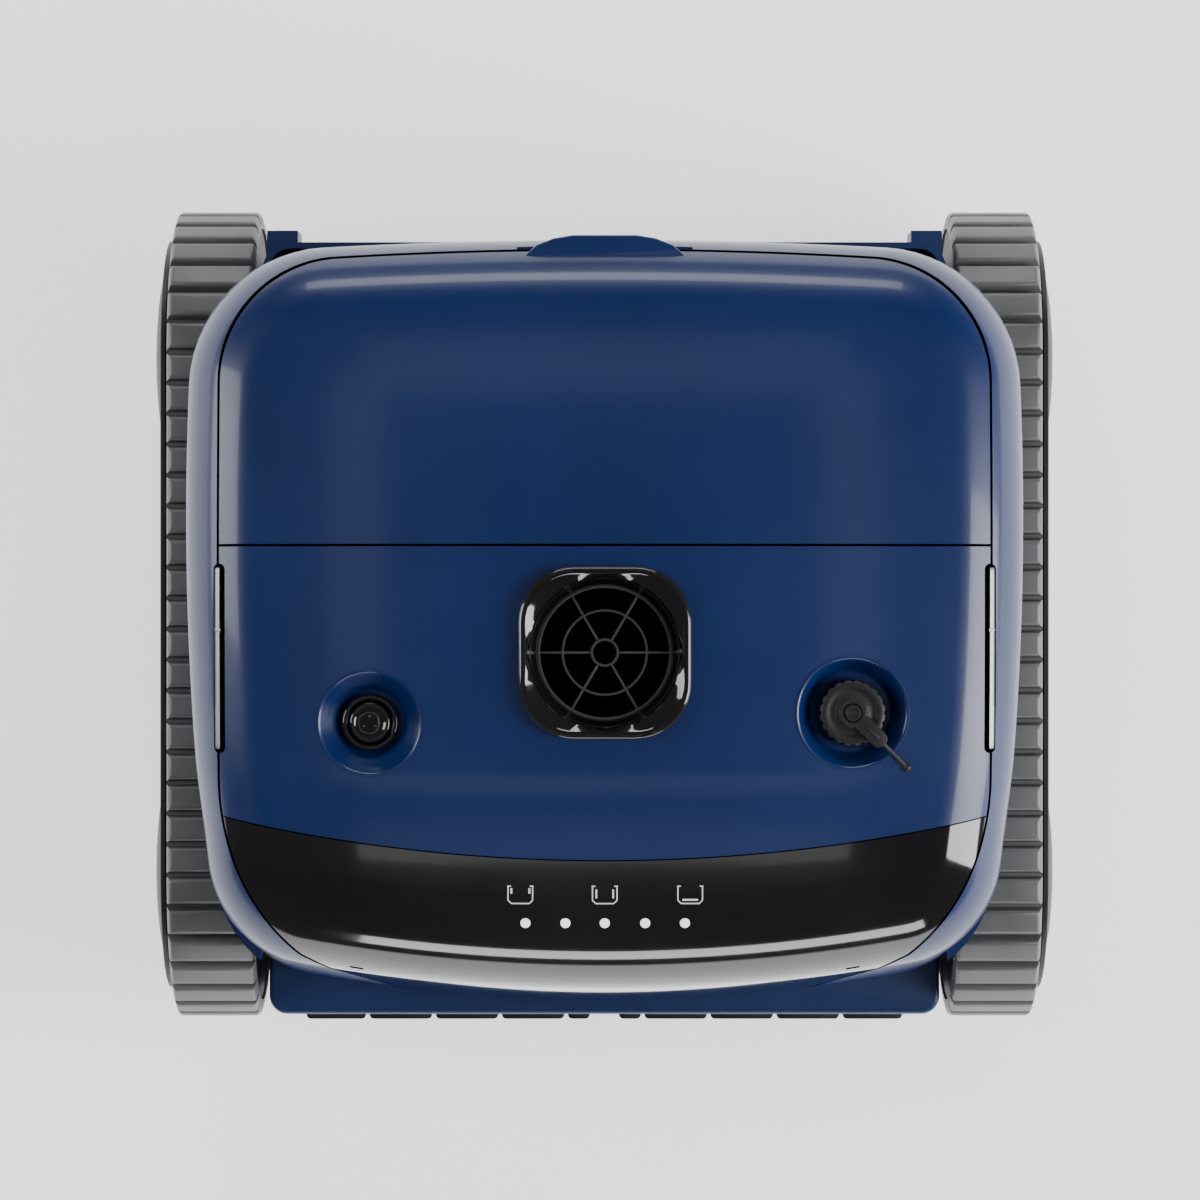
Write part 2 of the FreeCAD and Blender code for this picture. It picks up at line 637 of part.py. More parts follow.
# ---------------------------------------------------------------------------------------------------------
# Chassis: tub, bottom plate, bumper, battery and basket bay
# ---------------------------------------------------------------------------------------------------------
MOTOR_Y_OFFSET = 45
SCREW_SPOTS = [(-150, -136), (150, -136), (-150, 0), (150, 0), (-150, 166), (150, 166), (-60, 166), (60, 166)]


def make_chassis():
    outside = block("tub_outside", ("-dim.tub_half_w", "dim.tub_half_w"), ("-dim.tub_front", "dim.tub_rear"),
                    ("dim.tub_bottom + dim.plate", "dim.tub_top"))
    corner = doc.addObject("Part::Fillet", "tub_rounded")
    corner.Base = outside
    doc.recompute()
    upright = [i + 1 for i, e in enumerate(outside.Shape.Edges)
               if e.BoundBox.ZMax - e.BoundBox.ZMin > 50 and e.BoundBox.YMin > 0]
    corner.Edges = [(i, 14.0, 14.0) for i in upright]
    inside = block("tub_inside", ("-dim.tub_half_w + dim.wall", "dim.tub_half_w - dim.wall"),
                   ("-dim.tub_front + dim.wall", "dim.tub_rear - dim.wall"), (0, FAR))
    inside_round = doc.addObject("Part::Fillet", "tub_inside_rounded")
    inside_round.Base = inside
    doc.recompute()
    upright = [i + 1 for i, e in enumerate(inside.Shape.Edges)
               if e.BoundBox.ZMax - e.BoundBox.ZMin > 50 and e.BoundBox.YMin > 0]
    inside_round.Edges = [(i, 11.0, 11.0) for i in upright]
    shafts = [rod("drive_hole", "x", 6, -FAR, FAR, (f"-{WHEEL_Y} + {MOTOR_Y_OFFSET} + dim.mesh_gap", AXLE_Z))]
    shafts += [rod("axle_hole", "x", "dim.axle_r", -FAR, FAR, (y, AXLE_Z)) for y in (f"-{WHEEL_Y}", WHEEL_Y)]
    lugs, recesses = [], []
    for s in (-1, 1):
        low, high = sorted((s * 149, s * 164))
        lugs.append(block("rear_lug", (low, high), ("dim.tub_rear - 20", "dim.tub_rear + 7"), (104, 134)))
        low, high = sorted((s * 152.5, s * 160.5))
        recesses.append(block("rear_recess", (low, high), ("dim.tub_rear", FAR), (109, 129)))
    node("chassis_tub", cut("chassis_tub_cut", fuse("chassis_outside", corner, *lugs), inside_round,
                            *recesses, *shafts))

    plate = block("plate_blank", ("-dim.tub_half_w", "dim.tub_half_w"), ("-dim.tub_front", "dim.tub_rear"),
                  ("dim.tub_bottom", "dim.tub_bottom + dim.plate"))
    plate_round = doc.addObject("Part::Fillet", "plate_rounded")
    plate_round.Base = plate
    doc.recompute()
    upright = [i + 1 for i, e in enumerate(plate.Shape.Edges)
               if 1 < e.BoundBox.ZMax - e.BoundBox.ZMin < 50 and e.BoundBox.YMin > 0]
    plate_round.Edges = [(i, 14.0, 14.0) for i in upright]
    mouth = [mouth_block("plate_mouth", s, 0, 40, 0) for s in (-1, 1)]
    lip = block("mouth_lip", ("-dim.mouth_half_w - 6", "dim.mouth_half_w + 6"),
                ("dim.mouth_y - dim.mouth_depth / 2 - 6", "dim.mouth_y + dim.mouth_depth / 2 + 6"),
                (12, "dim.tub_bottom"))
    holes = [rod("screw_hole", "z", 1.6, 0, "dim.tub_bottom + dim.plate", spot) for spot in SCREW_SPOTS]
    node("bottom_plate", cut("bottom_plate_cut", plate_round, *mouth, *holes))
    node("mouth_surround", cut("mouth_surround_cut", lip,
                               *[mouth_block("lip_mouth", s, 0, 40, 0) for s in (-1, 1)]))
    screws = [fuse("screw", rod("shank", "z", 1.6, 20, "dim.tub_bottom + dim.plate", spot),
                   rod("head", "z", 3, 20, "dim.tub_bottom", spot)) for spot in SCREW_SPOTS]
    return screws


def make_bumper_and_bay():
    # bumper: a bar straight across the front, hollow behind and below, with two small slots
    span = ("-dim.tub_half_w", "dim.tub_half_w")
    bar = block("bumper_bar", span, ("-dim.bumper_front", "-dim.tub_front"),
                ("dim.bumper_bottom", "dim.bumper_top"))
    rounded = doc.addObject("Part::Fillet", "bumper_rounded")
    rounded.Base = bar
    doc.recompute()
    upright = [i + 1 for i, e in enumerate(bar.Shape.Edges)
               if e.BoundBox.ZMax - e.BoundBox.ZMin > 20 and e.BoundBox.YMax < 1 - d.tub_front - 20]
    rounded.Edges = [(i, d.bumper_corner, d.bumper_corner) for i in upright]
    hollow = block("bumper_hollow", ("-dim.tub_half_w + dim.wall", "dim.tub_half_w - dim.wall"),
                   ("-dim.bumper_front + dim.wall", FAR), (0, "dim.bumper_top - dim.wall"))
    marks = [block("bumper_slot", (x - 4, x + 4), (-FAR, -165), (88, 91)) for x in (-135, 135)]
    node("front_bumper", cut("front_bumper_cut", rounded, hollow, *marks))

    # bay: a box open at the top, with its own floor and the water passage to the pump
    bay_outside = block("bay_outside", ("-dim.bay_half_w", "dim.bay_half_w"),
                        ("dim.bay_front", "dim.bay_rear"),
                        ("dim.tub_bottom + dim.plate", "dim.bay_top"))
    bay_inside = block("bay_inside", ("-dim.bay_half_w + dim.bay_wall", "dim.bay_half_w - dim.bay_wall"),
                       ("dim.bay_front + dim.bay_wall", "dim.bay_rear - dim.bay_wall"),
                       ("dim.tub_bottom + dim.plate + dim.bay_wall", FAR))
    passage = block("bay_passage", (-23.5, 23.5), (0, 80), (68.5, 95.5))
    node("basket_well", cut("basket_well_cut", bay_outside, bay_inside, passage,
                            *[mouth_block("well_mouth", s, 0, 40, 0) for s in (-1, 1)]))

    node("battery_pack", fuse("battery_body", block("battery_box", (-58, 58), (-144, -68), (104, 150)),
                              block("battery_tray", (-66, 66), (-145, -64), (100, 104)),
                              block("battery_plug", (-12, 12), (-120, -100), (150, 156))))


def mouth_block(name, side, low, high, grow):
    """One half of the suction mouth: the two halves lie in front of and behind a cross bar."""
    half = f"(dim.mouth_half_w + {grow})"
    near, far = f"{2 - grow}", f"(dim.mouth_depth / 2 + {grow})"
    y = (f"dim.mouth_y + {near}", f"dim.mouth_y + {far}")
    if side < 0:
        y = (f"dim.mouth_y - {far}", f"dim.mouth_y - {near}")
    return block(name, (f"-{half}", half), y, (low, high))


# ---------------------------------------------------------------------------------------------------------
# Filter basket with its carrying handle and the two intake flaps
# ---------------------------------------------------------------------------------------------------------
BASKET_FLOOR = 29.5
HANDLE_Y, HANDLE_Z, HANDLE_REACH = 110, 192, 31


def make_basket():
    half, front, rear = "(dim.bay_half_w - dim.basket_gap)", "(dim.bay_front + dim.basket_gap)", \
        "(dim.bay_rear - dim.basket_gap)"
    wall, base, rim = "dim.basket_wall", f"{BASKET_FLOOR} + dim.basket_wall", "dim.basket_top"
    tray = block("basket_tray", (f"-{half}", half), (front, rear), (BASKET_FLOOR, base))
    mouths = [mouth_block("basket_mouth", s, 0, 40, -1) for s in (-1, 1)]
    ears = []
    for s in (-1, 1):
        for x in (-76, 76):
            ears.append(block("flap_ear", (x - 2, x + 2),
                              (f"dim.mouth_y + {s * 21.5} - 2", f"dim.mouth_y + {s * 21.5} + 2"),
                              (31, 37.6)))
            ears.append(rod("flap_pin", "x", 1, x - 6, x + 6, (f"dim.mouth_y + {s * 21.5}", 36)))
    node("filter_basket", fuse("filter_basket_body", cut("basket_tray_cut", tray, *mouths), *ears))

    # four walls with windows, backed by cloth, and a trunnion on each side wall for the handle
    long_windows, mesh = [], []
    for low, high in ((-110, -62), (-54, -4), (4, 54), (62, 110)):
        long_windows.append(block("window_y", (low, high), (0, FAR), (40, 176)))
        mesh.append(block("mesh_front", (low - 1, high + 1),
                          (f"{front} + {wall}", f"{front} + {wall} + 0.5"), (39, 177)))
        mesh.append(block("mesh_rear", (low - 1, high + 1), (f"{rear} - {wall} - 0.5", f"{rear} - {wall}"),
                          (39, 177)))
    panels = [cut("basket_front", block("front_blank", (f"-{half}", half), (front, f"{front} + {wall}"),
                                        (base, rim)),
                  *long_windows),
              cut("basket_rear", block("rear_blank", (f"-{half}", half), (f"{rear} - {wall}", rear),
                                       (base, rim)),
                  *long_windows)]
    for s in (-1, 1):
        skin = tuple(sorted_ends(s, f"{half} - {wall}", half))
        cloth = tuple(sorted_ends(s, f"{half} - {wall} - 0.5", f"{half} - {wall}"))
        side_windows = []
        for low, high in ((68, 106), (112, 150)):
            side_windows.append(block("window_x", (-FAR, FAR), (low, high), (40, 176)))
            mesh.append(block("mesh_side", cloth, (low - 1, high + 1), (39, 177)))
        blank = block("side_blank", skin, (f"{front} + {wall}", f"{rear} - {wall}"), (base, rim))
        boss = rod("handle_boss", "x", 4, *sorted_ends(s, "110", f"{half} - {wall} + 0.5"),
                   (HANDLE_Y, HANDLE_Z))
        trunnion = rod("trunnion", "x", 1.6, *sorted_ends(s, "104", "110.5"), (HANDLE_Y, HANDLE_Z))
        panels.append(fuse("basket_side", cut("side_cut", blank, *side_windows), boss, trunnion))
    node("basket_sides", group("basket_sides_group", *panels))
    node("basket_mesh", group("basket_mesh_group", *mesh))
    make_handle()
    make_flaps()


def sorted_ends(side, near, far):
    """The low and high ends of a span that lies between near and far on one side of the middle."""
    return (near, far) if side > 0 else (f"-({far})", f"-({near})")


def make_handle():
    pivot = (HANDLE_Y, HANDLE_Z)
    # bail handle: lies flat towards the front and swings up under the lid
    arms = [block("handle_arm", (s * 107 - 1.7, s * 107 + 1.7), (HANDLE_Y - HANDLE_REACH, HANDLE_Y),
                  (HANDLE_Z - 2.5, HANDLE_Z + 2.5))
            for s in (-1, 1)]
    eyes = [rod("handle_eye", "x", 3.6, s * 107 - 1.7, s * 107 + 1.7, pivot) for s in (-1, 1)]
    bar = block("handle_bar", (-108.7, 108.7), (HANDLE_Y - HANDLE_REACH - 5, HANDLE_Y - HANDLE_REACH + 3),
                (HANDLE_Z - 2.5, HANDLE_Z + 2.5))
    bores = [rod("handle_bore", "x", "1.6 + dim.run_gap", s * 107 - 3, s * 107 + 3, pivot) for s in (-1, 1)]
    node("basket_handle", cut("basket_handle_cut", fuse("basket_handle_body", *arms, *eyes, bar), *bores))



def make_flaps():
    # each lies over its half of the mouth and is hinged along the outer edge
    for s, name in ((-1, "inlet_flap_front"), (1, "inlet_flap_rear")):
        y_pin = f"dim.mouth_y + {s * 21.5}"
        near, far = f"dim.mouth_y + {s * 0.5}", f"dim.mouth_y + {s * 20}"
        leaf = block("flap_leaf", ("-dim.mouth_half_w - 1", "dim.mouth_half_w + 1"),
                     (near, far) if s > 0 else (far, near), (31.9, 33.4))
        about_pin = (f"{y_pin} - 4", f"{y_pin} + 4")
        clear = [block("leaf_clear", (x - 3.5, x + 3.5), about_pin, (0, 60)) for x in (-76, 76)]
        tubes, links = [], []
        for x in (-80, -72, 72, 80):
            tubes.append(rod("flap_tube", "x", 2.1, x - 1.6, x + 1.6, (y_pin, 36)))
            y = (f"{y_pin} - 3.5", f"{y_pin} + 0.5") if s > 0 else (f"{y_pin} - 0.5", f"{y_pin} + 3.5")
            links.append(block("flap_link", (x - 1.6, x + 1.6), y, (31.9, 35.5)))
        bores = [rod("flap_bore", "x", "1 + dim.run_gap", x - 8, x + 8, (y_pin, 36)) for x in (-76, 76)]
        node(name, cut("flap_cut", fuse("flap_body", cut("leaf", leaf, *clear), *tubes, *links), *bores))


# ---------------------------------------------------------------------------------------------------------
# Running gear on the right-hand side, mirrored for the left
# ---------------------------------------------------------------------------------------------------------
def belt_point(distance, r):
    """A point and outward direction on a loop of radius r at a distance along the belt's base line."""
    base = d.belt_inner_r + d.belt_base
    run, bend = 2 * wheel_y, math.pi * base
    distance = distance % (2 * run + 2 * bend)
    if distance < run:
        return -wheel_y + distance, axle_z + r, 0.0
    distance -= run
    if distance < bend:
        a = distance / base
        return wheel_y + r * math.sin(a), axle_z + r * math.cos(a), a
    distance -= bend
    if distance < run:
        return wheel_y - distance, axle_z - r, math.pi
    a = (distance - run) / base + math.pi
    return -wheel_y + r * math.sin(a), axle_z + r * math.cos(a), a


def make_belt():
    base_r = d.belt_inner_r + d.belt_base
    length = 4 * wheel_y + 2 * math.pi * base_r
    pitch = length / d.lug_count
    points = []
    for i in range(int(d.lug_count)):
        middle = (i + 0.5) * pitch
        half = (pitch - d.lug_groove) / 2
        for shift, r in ((-half, base_r), (-half + d.lug_draft, base_r + d.lug_height),
                         (half - d.lug_draft, base_r + d.lug_height), (half, base_r)):
            y, z, _ = belt_point(middle + shift, r)
            points.append(Vector(d.belt_inner_x, y, z))
    face = Part.Face(Part.makePolygon(points + points[:1]))
    solid = face.extrude(Vector(d.belt_width, 0, 0))
    tread = shaped("tread", solid)
    middle_x = "(dim.belt_inner_x + dim.belt_width / 2)"

    def loop(name, r, x):
        return fuse(name, rod("loop_front", "x", r, x[0], x[1], (f"-{WHEEL_Y}", AXLE_Z)),
                    rod("loop_rear", "x", r, x[0], x[1], (WHEEL_Y, AXLE_Z)),
                    block("loop_middle", x, (f"-{WHEEL_Y}", WHEEL_Y),
                          (f"{AXLE_Z} - ({r})", f"{AXLE_Z} + ({r})")))

    hollow = loop("belt_hollow", "dim.belt_inner_r", ("dim.belt_inner_x - 1", f"{BELT_OUT_X} + 1"))
    rib_x = (f"{middle_x} - dim.guide_width / 2", f"{middle_x} + dim.guide_width / 2")
    rib = cut("belt_rib", loop("rib_outer", "dim.belt_inner_r + 0.5", rib_x),
              loop("rib_inner", "dim.belt_inner_r - dim.guide_height", ("dim.belt_inner_x", BELT_OUT_X)))
    both_sides("track_belt", fuse("belt_body", cut("belt_ring", tread, hollow), rib))


def gear(name, teeth, x, at, bore=None):
    """A spur wheel whose teeth are cut in from its tip circle."""
    r = f"(dim.gear_module * {teeth} / 2 - dim.mesh_gap / 2)"
    disc = rod(f"{name}_disc", "x", r, x[0], x[1], at)
    module = d.gear_module
    gaps = []
    tip = module * teeth / 2 - d.mesh_gap / 2
    y0, z0 = at[0], at[1]
    for i in range(teeth):
        tooth = doc.addObject("Part::Box", "tooth_gap")
        bind(tooth, "Length", f"({x[1]}) - ({x[0]}) + 2")
        tooth.Width, tooth.Height = module * 1.45, module * 1.6
        a = 2 * math.pi * i / teeth
        turn = FreeCAD.Rotation(Vector(1, 0, 0), math.degrees(a) - 90)
        spot = turn.multVec(Vector(0, -module * 0.725, tip - module * 1.25))
        tooth.Placement = FreeCAD.Placement(spot, turn)
        bind(tooth, "Placement.Base.x", f"({x[0]}) - 1")
        bind(tooth, "Placement.Base.y", f"{spot.y:.6f} + ({y0})")
        bind(tooth, "Placement.Base.z", f"{spot.z:.6f} + ({z0})")
        gaps.append(tooth)
    return cut(f"{name}_teeth", disc, *gaps)


GEAR_SPAN = (GEAR_X, f"({GEAR_X} + dim.gear_width)")
IDLER_TEETH = 13


def make_wheels():
    r = "(dim.belt_inner_r - dim.belt_gap)"
    x_in, x_out = "(dim.belt_inner_x + dim.wheel_side_gap)", f"({BELT_OUT_X} - dim.wheel_side_gap)"
    middle_x = "(dim.belt_inner_x + dim.belt_width / 2)"
    axles = []
    for end, y in (("front", f"-{WHEEL_Y}"), ("rear", WHEEL_Y)):
        at = (y, AXLE_Z)
        body = rod(f"wheel_{end}_body", "x", r, x_in, x_out, at)
        groove = cut(f"wheel_{end}_groove",
                     rod("groove_out", "x", "dim.belt_inner_r + 5", f"{middle_x} - dim.guide_width / 2 - 1",
                         f"{middle_x} + dim.guide_width / 2 + 1", at),
                     rod("groove_in", "x", f"{r} - dim.guide_height - 0.6", f"{middle_x} - 20",
                         f"{middle_x} + 20", at))
        face_out = cut(f"wheel_{end}_dish", rod("dish_out", "x", f"{r} - 7", f"{x_out} - dim.rim_depth",
                                                f"{x_out} + 1", at),
                       rod("dish_in", "x", 17, f"{x_out} - 40", f"{x_out} + 2", at))
        bore = rod("wheel_bore", "x", "dim.axle_r + dim.run_gap", 150, 230, at)
        neck = rod("wheel_neck", "x", "dim.neck_r", GEAR_X, f"{x_in} + 1", at)
        wheel = cut(f"wheel_{end}_done", fuse(f"wheel_{end}_whole",
                                              cut(f"wheel_{end}_cut", body, groove, face_out), neck),
                    bore)
        if end == "front":
            # a gear ring is pressed on the neck of each front wheel
            ring = cut("wheel_gear_ring", gear("wheel_gear", WHEEL_TEETH, GEAR_SPAN, at),
                       rod("gear_seat", "x", "dim.neck_r", 150, 180, at))
            wheel = group("wheel_front_group", wheel, ring)
        both_sides(f"wheel_{end}", wheel)
        axles.append(rod("axle", "x", "dim.axle_r", "dim.tub_half_w - dim.wall", COVER_IN_X, at))

    # rollers press on the lower run between the wheels
    roller_z = f"({AXLE_Z} - dim.belt_inner_r + dim.roller_r + dim.belt_gap)"
    roller_x = (f"{middle_x} - 14", f"{middle_x} + 14")
    for end, s in (("front", "-1"), ("rear", "1")):
        at = (f"{s} * dim.roller_y", roller_z)
        body = rod("roller_body", "x", "dim.roller_r", roller_x[0], roller_x[1], at)
        groove = cut("roller_groove", rod("rg1", "x", "dim.roller_r + 2",
                                          f"{middle_x} - dim.guide_width / 2 - 1",
                                          f"{middle_x} + dim.guide_width / 2 + 1", at),
                     rod("rg2", "x", "dim.roller_r - dim.guide_height - 0.8", roller_x[0], roller_x[1], at))
        bore = rod("roller_bore", "x", "3.5 + dim.run_gap", 150, 230, at)
        both_sides(f"roller_{end}", cut("roller_done", body, groove, bore))
        axles.append(rod("roller_pin", "x", 3.5, 171, 211, at))
    mirrored_axles = [mirrored("axle_left", a) for a in axles]
    node("axles", group("axle_group", *axles, *mirrored_axles))

    plate_x = [("170.5", "175.5"), ("206.5", "211.5")]
    cheeks = [block("cheek", x, (-48, 48), (15, 110)) for x in plate_x]
    bridge = block("frame_bridge", (171, 211), (-48, 48), (58, 98))
    foot = block("frame_foot", ("dim.tub_half_w", 172), (-40, 40), (62, 94))
    arm = block("frame_arm", (210, f"{COVER_IN_X}"), (-30, 30), (62, 94))
    holes = [rod("cheek_hole", "x", 3.5, 150, 230, (f"{s} * dim.roller_y", roller_z)) for s in ("-1", "1")]
    both_sides("track_frame", cut("track_frame_done", fuse("track_frame_body", *cheeks, bridge, foot, arm),
                                  *holes))


def make_covers():
    def loop(name, r, x):
        return fuse(name, rod("cover_front", "x", r, x[0], x[1], (f"-{WHEEL_Y}", AXLE_Z)),
                    rod("cover_rear", "x", r, x[0], x[1], (WHEEL_Y, AXLE_Z)),
                    block("cover_middle", x, (f"-{WHEEL_Y}", WHEEL_Y),
                          (f"{AXLE_Z} - ({r})", f"{AXLE_Z} + ({r})")))

    plate = loop("cover_plate", "dim.cover_r", (COVER_IN_X, f"{COVER_IN_X} + 3"))
    middle = block("cover_panel", (f"{COVER_IN_X} + 1", "dim.cover_out_x - dim.cover_inset"), (-62, 62),
                   (34, 114))
    bosses, spots = [], []
    for y in (f"-{WHEEL_Y}", WHEEL_Y):
        bosses.append(cone_x("cover_boss", "dim.boss_r", "dim.boss_top_r", f"{COVER_IN_X} + 2",
                             "dim.cover_out_x",
                             (y, AXLE_Z)))
        for side in (-1, 1):
            spots.append((y, f"{AXLE_Z} + {side} * dim.screw_r"))
    seat = "dim.cover_out_x - 4.5"
    holes = [rod("cover_hole", "x", 3.4, seat, "dim.cover_out_x + 1", spot) for spot in spots]
    both_sides("side_cover", cut("side_cover_done", fuse("side_cover_body", plate, middle, *bosses), *holes))
    screws = [rod("cover_screw", "x", 3.2, seat, f"{seat} + 1.3", spot) for spot in spots]
    return screws + [mirrored("screw_left", s) for s in screws]


def cone_x(name, r_low, r_high, low, high, at):
    piece = doc.addObject("Part::Cone", name)
    bind(piece, "Radius1", r_low)
    bind(piece, "Radius2", r_high)
    bind(piece, "Height", f"({high}) - ({low})")
    return place(piece, low, at[0], at[1], turn=TURNS["x"])


# ---------------------------------------------------------------------------------------------------------
# Drive motors, gears and brush rollers
# ---------------------------------------------------------------------------------------------------------
FIN_ROWS = 10


def make_drive():
    at = (f"(-{WHEEL_Y} + {MOTOR_Y_OFFSET} + dim.mesh_gap)", AXLE_Z)
    motor = fuse("drive_motor_body", rod("motor_can", "x", 17, 84, 132, at),
                 rod("gearbox", "x", 20, 132, "dim.tub_half_w - dim.wall", at),
                 rod("motor_shaft", "x", 3, "dim.tub_half_w - dim.wall", f"{GEAR_SPAN[1]} - 0.5", at),
                 block("motor_foot", (98, 150), (f"{at[0]} - 12", f"{at[0]} + 12"), (25, f"{AXLE_Z} - 10")))
    both_sides("drive_motor", motor)
    pinion = gear("pinion", PINION_TEETH, GEAR_SPAN, at)
    both_sides("drive_pinion", cut("pinion_done", pinion,
                                   rod("pinion_bore", "x", "3 + dim.run_gap", 160, 180, at)))

    # the idler sits on the line between the wheel's gear and the brush's gear
    y1, z1, y2, z2 = -wheel_y, axle_z, -d.brush_y, d.brush_z
    span = math.hypot(y2 - y1, z2 - z1)
    r_wheel, r_brush = d.gear_module * WHEEL_TEETH / 2, d.gear_module * SMALL_TEETH / 2
    share = (r_wheel + (span - r_wheel - r_brush) / 2) / span
    iy, iz = y1 + (y2 - y1) * share, z1 + (z2 - z1) * share
    at = (f"{iy:.6f}", f"{iz:.6f}")
    idler = gear("idler", IDLER_TEETH, GEAR_SPAN, at)
    both_sides("brush_idler", cut("idler_done", idler,
                                  rod("idler_bore", "x", "2.5 + dim.run_gap", 160, 180, at)))

    # cheek that carries the brush's outer end, and the idler's pin
    at_brush = ("-dim.brush_y", "dim.brush_z")
    cheek = fuse("brush_cheek_body",
                 block("cheek_plate", ("dim.brush_outer_x + 1.5", "dim.tub_half_w"),
                       ("-dim.brush_y - 9", "-dim.tub_front"), ("dim.brush_z", 66)),
                 block("cheek_toe", ("dim.brush_outer_x + 1.5", "dim.tub_half_w"),
                       ("-dim.brush_y", "-dim.tub_front"), ("dim.tub_bottom", 40)),
                 rod("cheek_nose", "x", 9, "dim.brush_outer_x + 1.5", "dim.tub_half_w", at_brush))
    pin = rod("idler_pin", "x", 2.5, "dim.tub_half_w - 4", f"{GEAR_SPAN[1]} - 0.4", at)
    arm = fuse("brush_cheek_whole", cheek, pin)
    hanger = fuse("hanger_body", arm, mirrored("brush_cheek_left", arm),
                  block("hanger_plate", (-4, 4), ("-dim.brush_y - 9", "-dim.tub_front"), ("dim.brush_z", 66)),
                  block("hanger_bar", ("-dim.tub_half_w", "dim.tub_half_w"), (-170, "-dim.tub_front"),
                        (63, 66)),
                  rod("hanger_nose", "x", 9, -4, 4, at_brush))
    bores = rod("hanger_bore", "x", "dim.shaft_r + dim.run_gap", -FAR, FAR, at_brush)
    node("brush_hanger", cut("hanger_done", hanger, bores))

    core = fuse("brush_core_body",
                rod("brush_tube", "x", "dim.brush_core_r", "dim.brush_inner_x", "dim.brush_outer_x",
                    at_brush),
                rod("brush_shaft", "x", "dim.shaft_r", 0.6, f"{GEAR_SPAN[1]}", at_brush),
                gear("brush_gear", SMALL_TEETH, GEAR_SPAN, at_brush))
    both_sides("brush_core", core)

    # rubber sleeve with rows of tabs
    sleeve_x = ("dim.brush_inner_x + 1", "dim.brush_outer_x - 1")
    sleeve = rod("sleeve", "x", "dim.brush_core_r + 2", sleeve_x[0], sleeve_x[1], at_brush)
    fins = []
    for i in range(FIN_ROWS):
        fin = doc.addObject("Part::Box", "fin")
        bind(fin, "Length", f"({sleeve_x[1]}) - ({sleeve_x[0]})")
        bind(fin, "Width", "dim.fin_width")
        bind(fin, "Height", "dim.brush_r - dim.brush_core_r - 1")
        turn = FreeCAD.Rotation(Vector(1, 0, 0), 360 * i / FIN_ROWS + 9)
        spot = turn.multVec(Vector(0, -d.fin_width / 2, d.brush_core_r + 1))
        fin.Placement = FreeCAD.Placement(Vector(0, 0, 0), turn)
        bind(fin, "Placement.Base.x", sleeve_x[0])
        bind(fin, "Placement.Base.y", f"{spot.y:.6f} - dim.brush_y")
        bind(fin, "Placement.Base.z", f"{spot.z:.6f} + dim.brush_z")
        fins.append(fin)
    gaps = []
    for i in range(4):
        x = f"dim.brush_inner_x + 1 + 12 + {i} * dim.tab_pitch"
        gaps.append(cut("tab_gap", rod("gap_out", "x", 40, x, f"{x} + dim.tab_gap", at_brush),
                        rod("gap_in", "x", "dim.brush_core_r + 3", 0, 200, at_brush)))
    bore = rod("sleeve_bore", "x", "dim.brush_core_r", 0, 200, at_brush)
    both_sides("brush_sleeve", cut("sleeve_done", fuse("sleeve_fins", sleeve, *fins), bore, *gaps))


def make_trim():
    # strips that fill the outer part of each vent slot, and the soft seal under the lid's edge
    strip = fuse("strip_body", block("strip_out", ("dim.crease_half_w - 0.4", "dim.crease_half_w + 2.2"),
                                     (VENT_FROM, VENT_TO), (208, 224.5)),
                 block("strip_leg", ("dim.crease_half_w - 3.4", "dim.crease_half_w + 2.2"),
                       (VENT_FROM, VENT_TO), (206, 208)))
    both_sides("vent_grip", strip)


make_hinge()
make_outlet()
make_controls()
plate_screws = make_chassis()
make_bumper_and_bay()
make_basket()
make_belt()
make_wheels()
cover_screws = make_covers()
node("housing_screws", group("screw_group", *plate_screws, *cover_screws))
make_drive()
make_trim()

# ---------------------------------------------------------------------------------------------------------
# Check every object, then write the files
# ---------------------------------------------------------------------------------------------------------
doc.recompute()
for piece in doc.Objects:
    if "Invalid" in piece.State or "Error" in piece.State:
        raise RuntimeError(f"{piece.Name} ({piece.Label}) did not compute: {piece.State}")
for name, piece in parts.items():
    if piece.Shape.isNull() or not piece.Shape.isValid() or not piece.Shape.Solids:
        raise RuntimeError(f"{name} has no valid solid")

os.makedirs("parts", exist_ok=True)
for name, piece in parts.items():
    piece.Shape.exportStep(f"parts/{name}.step")
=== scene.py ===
# %% [markdown]
# # A tracked pool cleaner, modelled as a lesson
# The CAD model is loaded first and stays as it is. It fixes every size, place and joint. New pieces are
# then modelled where the eye lands: the hood panels, tracks, covers, outlet, controls and brushes.
# Everything is in metres, +X to the right, +Y to the rear and +Z up.

import bpy
import bmesh
import math
from mathutils import Matrix, Vector


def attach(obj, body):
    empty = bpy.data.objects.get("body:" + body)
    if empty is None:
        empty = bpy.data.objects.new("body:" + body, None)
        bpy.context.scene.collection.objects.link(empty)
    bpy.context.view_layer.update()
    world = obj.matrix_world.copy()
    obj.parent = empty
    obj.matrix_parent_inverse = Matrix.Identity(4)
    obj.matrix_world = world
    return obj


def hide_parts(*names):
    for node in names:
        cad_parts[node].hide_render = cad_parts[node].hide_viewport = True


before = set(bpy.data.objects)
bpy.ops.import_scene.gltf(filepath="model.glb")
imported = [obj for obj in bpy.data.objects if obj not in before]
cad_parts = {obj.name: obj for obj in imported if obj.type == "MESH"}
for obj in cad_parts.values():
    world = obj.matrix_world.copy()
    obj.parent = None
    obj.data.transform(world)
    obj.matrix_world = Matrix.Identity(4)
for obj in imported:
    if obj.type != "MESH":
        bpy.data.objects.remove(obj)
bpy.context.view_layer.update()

# %% [markdown]
# ## Small helpers
# Operators act on whatever is selected, so each helper first deselects everything and then selects one
# object. In edit mode, faces and edges are picked by a test on their place or direction, as one would
# click them by hand.

# %% Select, edit and modify one object at a time
MM = 0.001


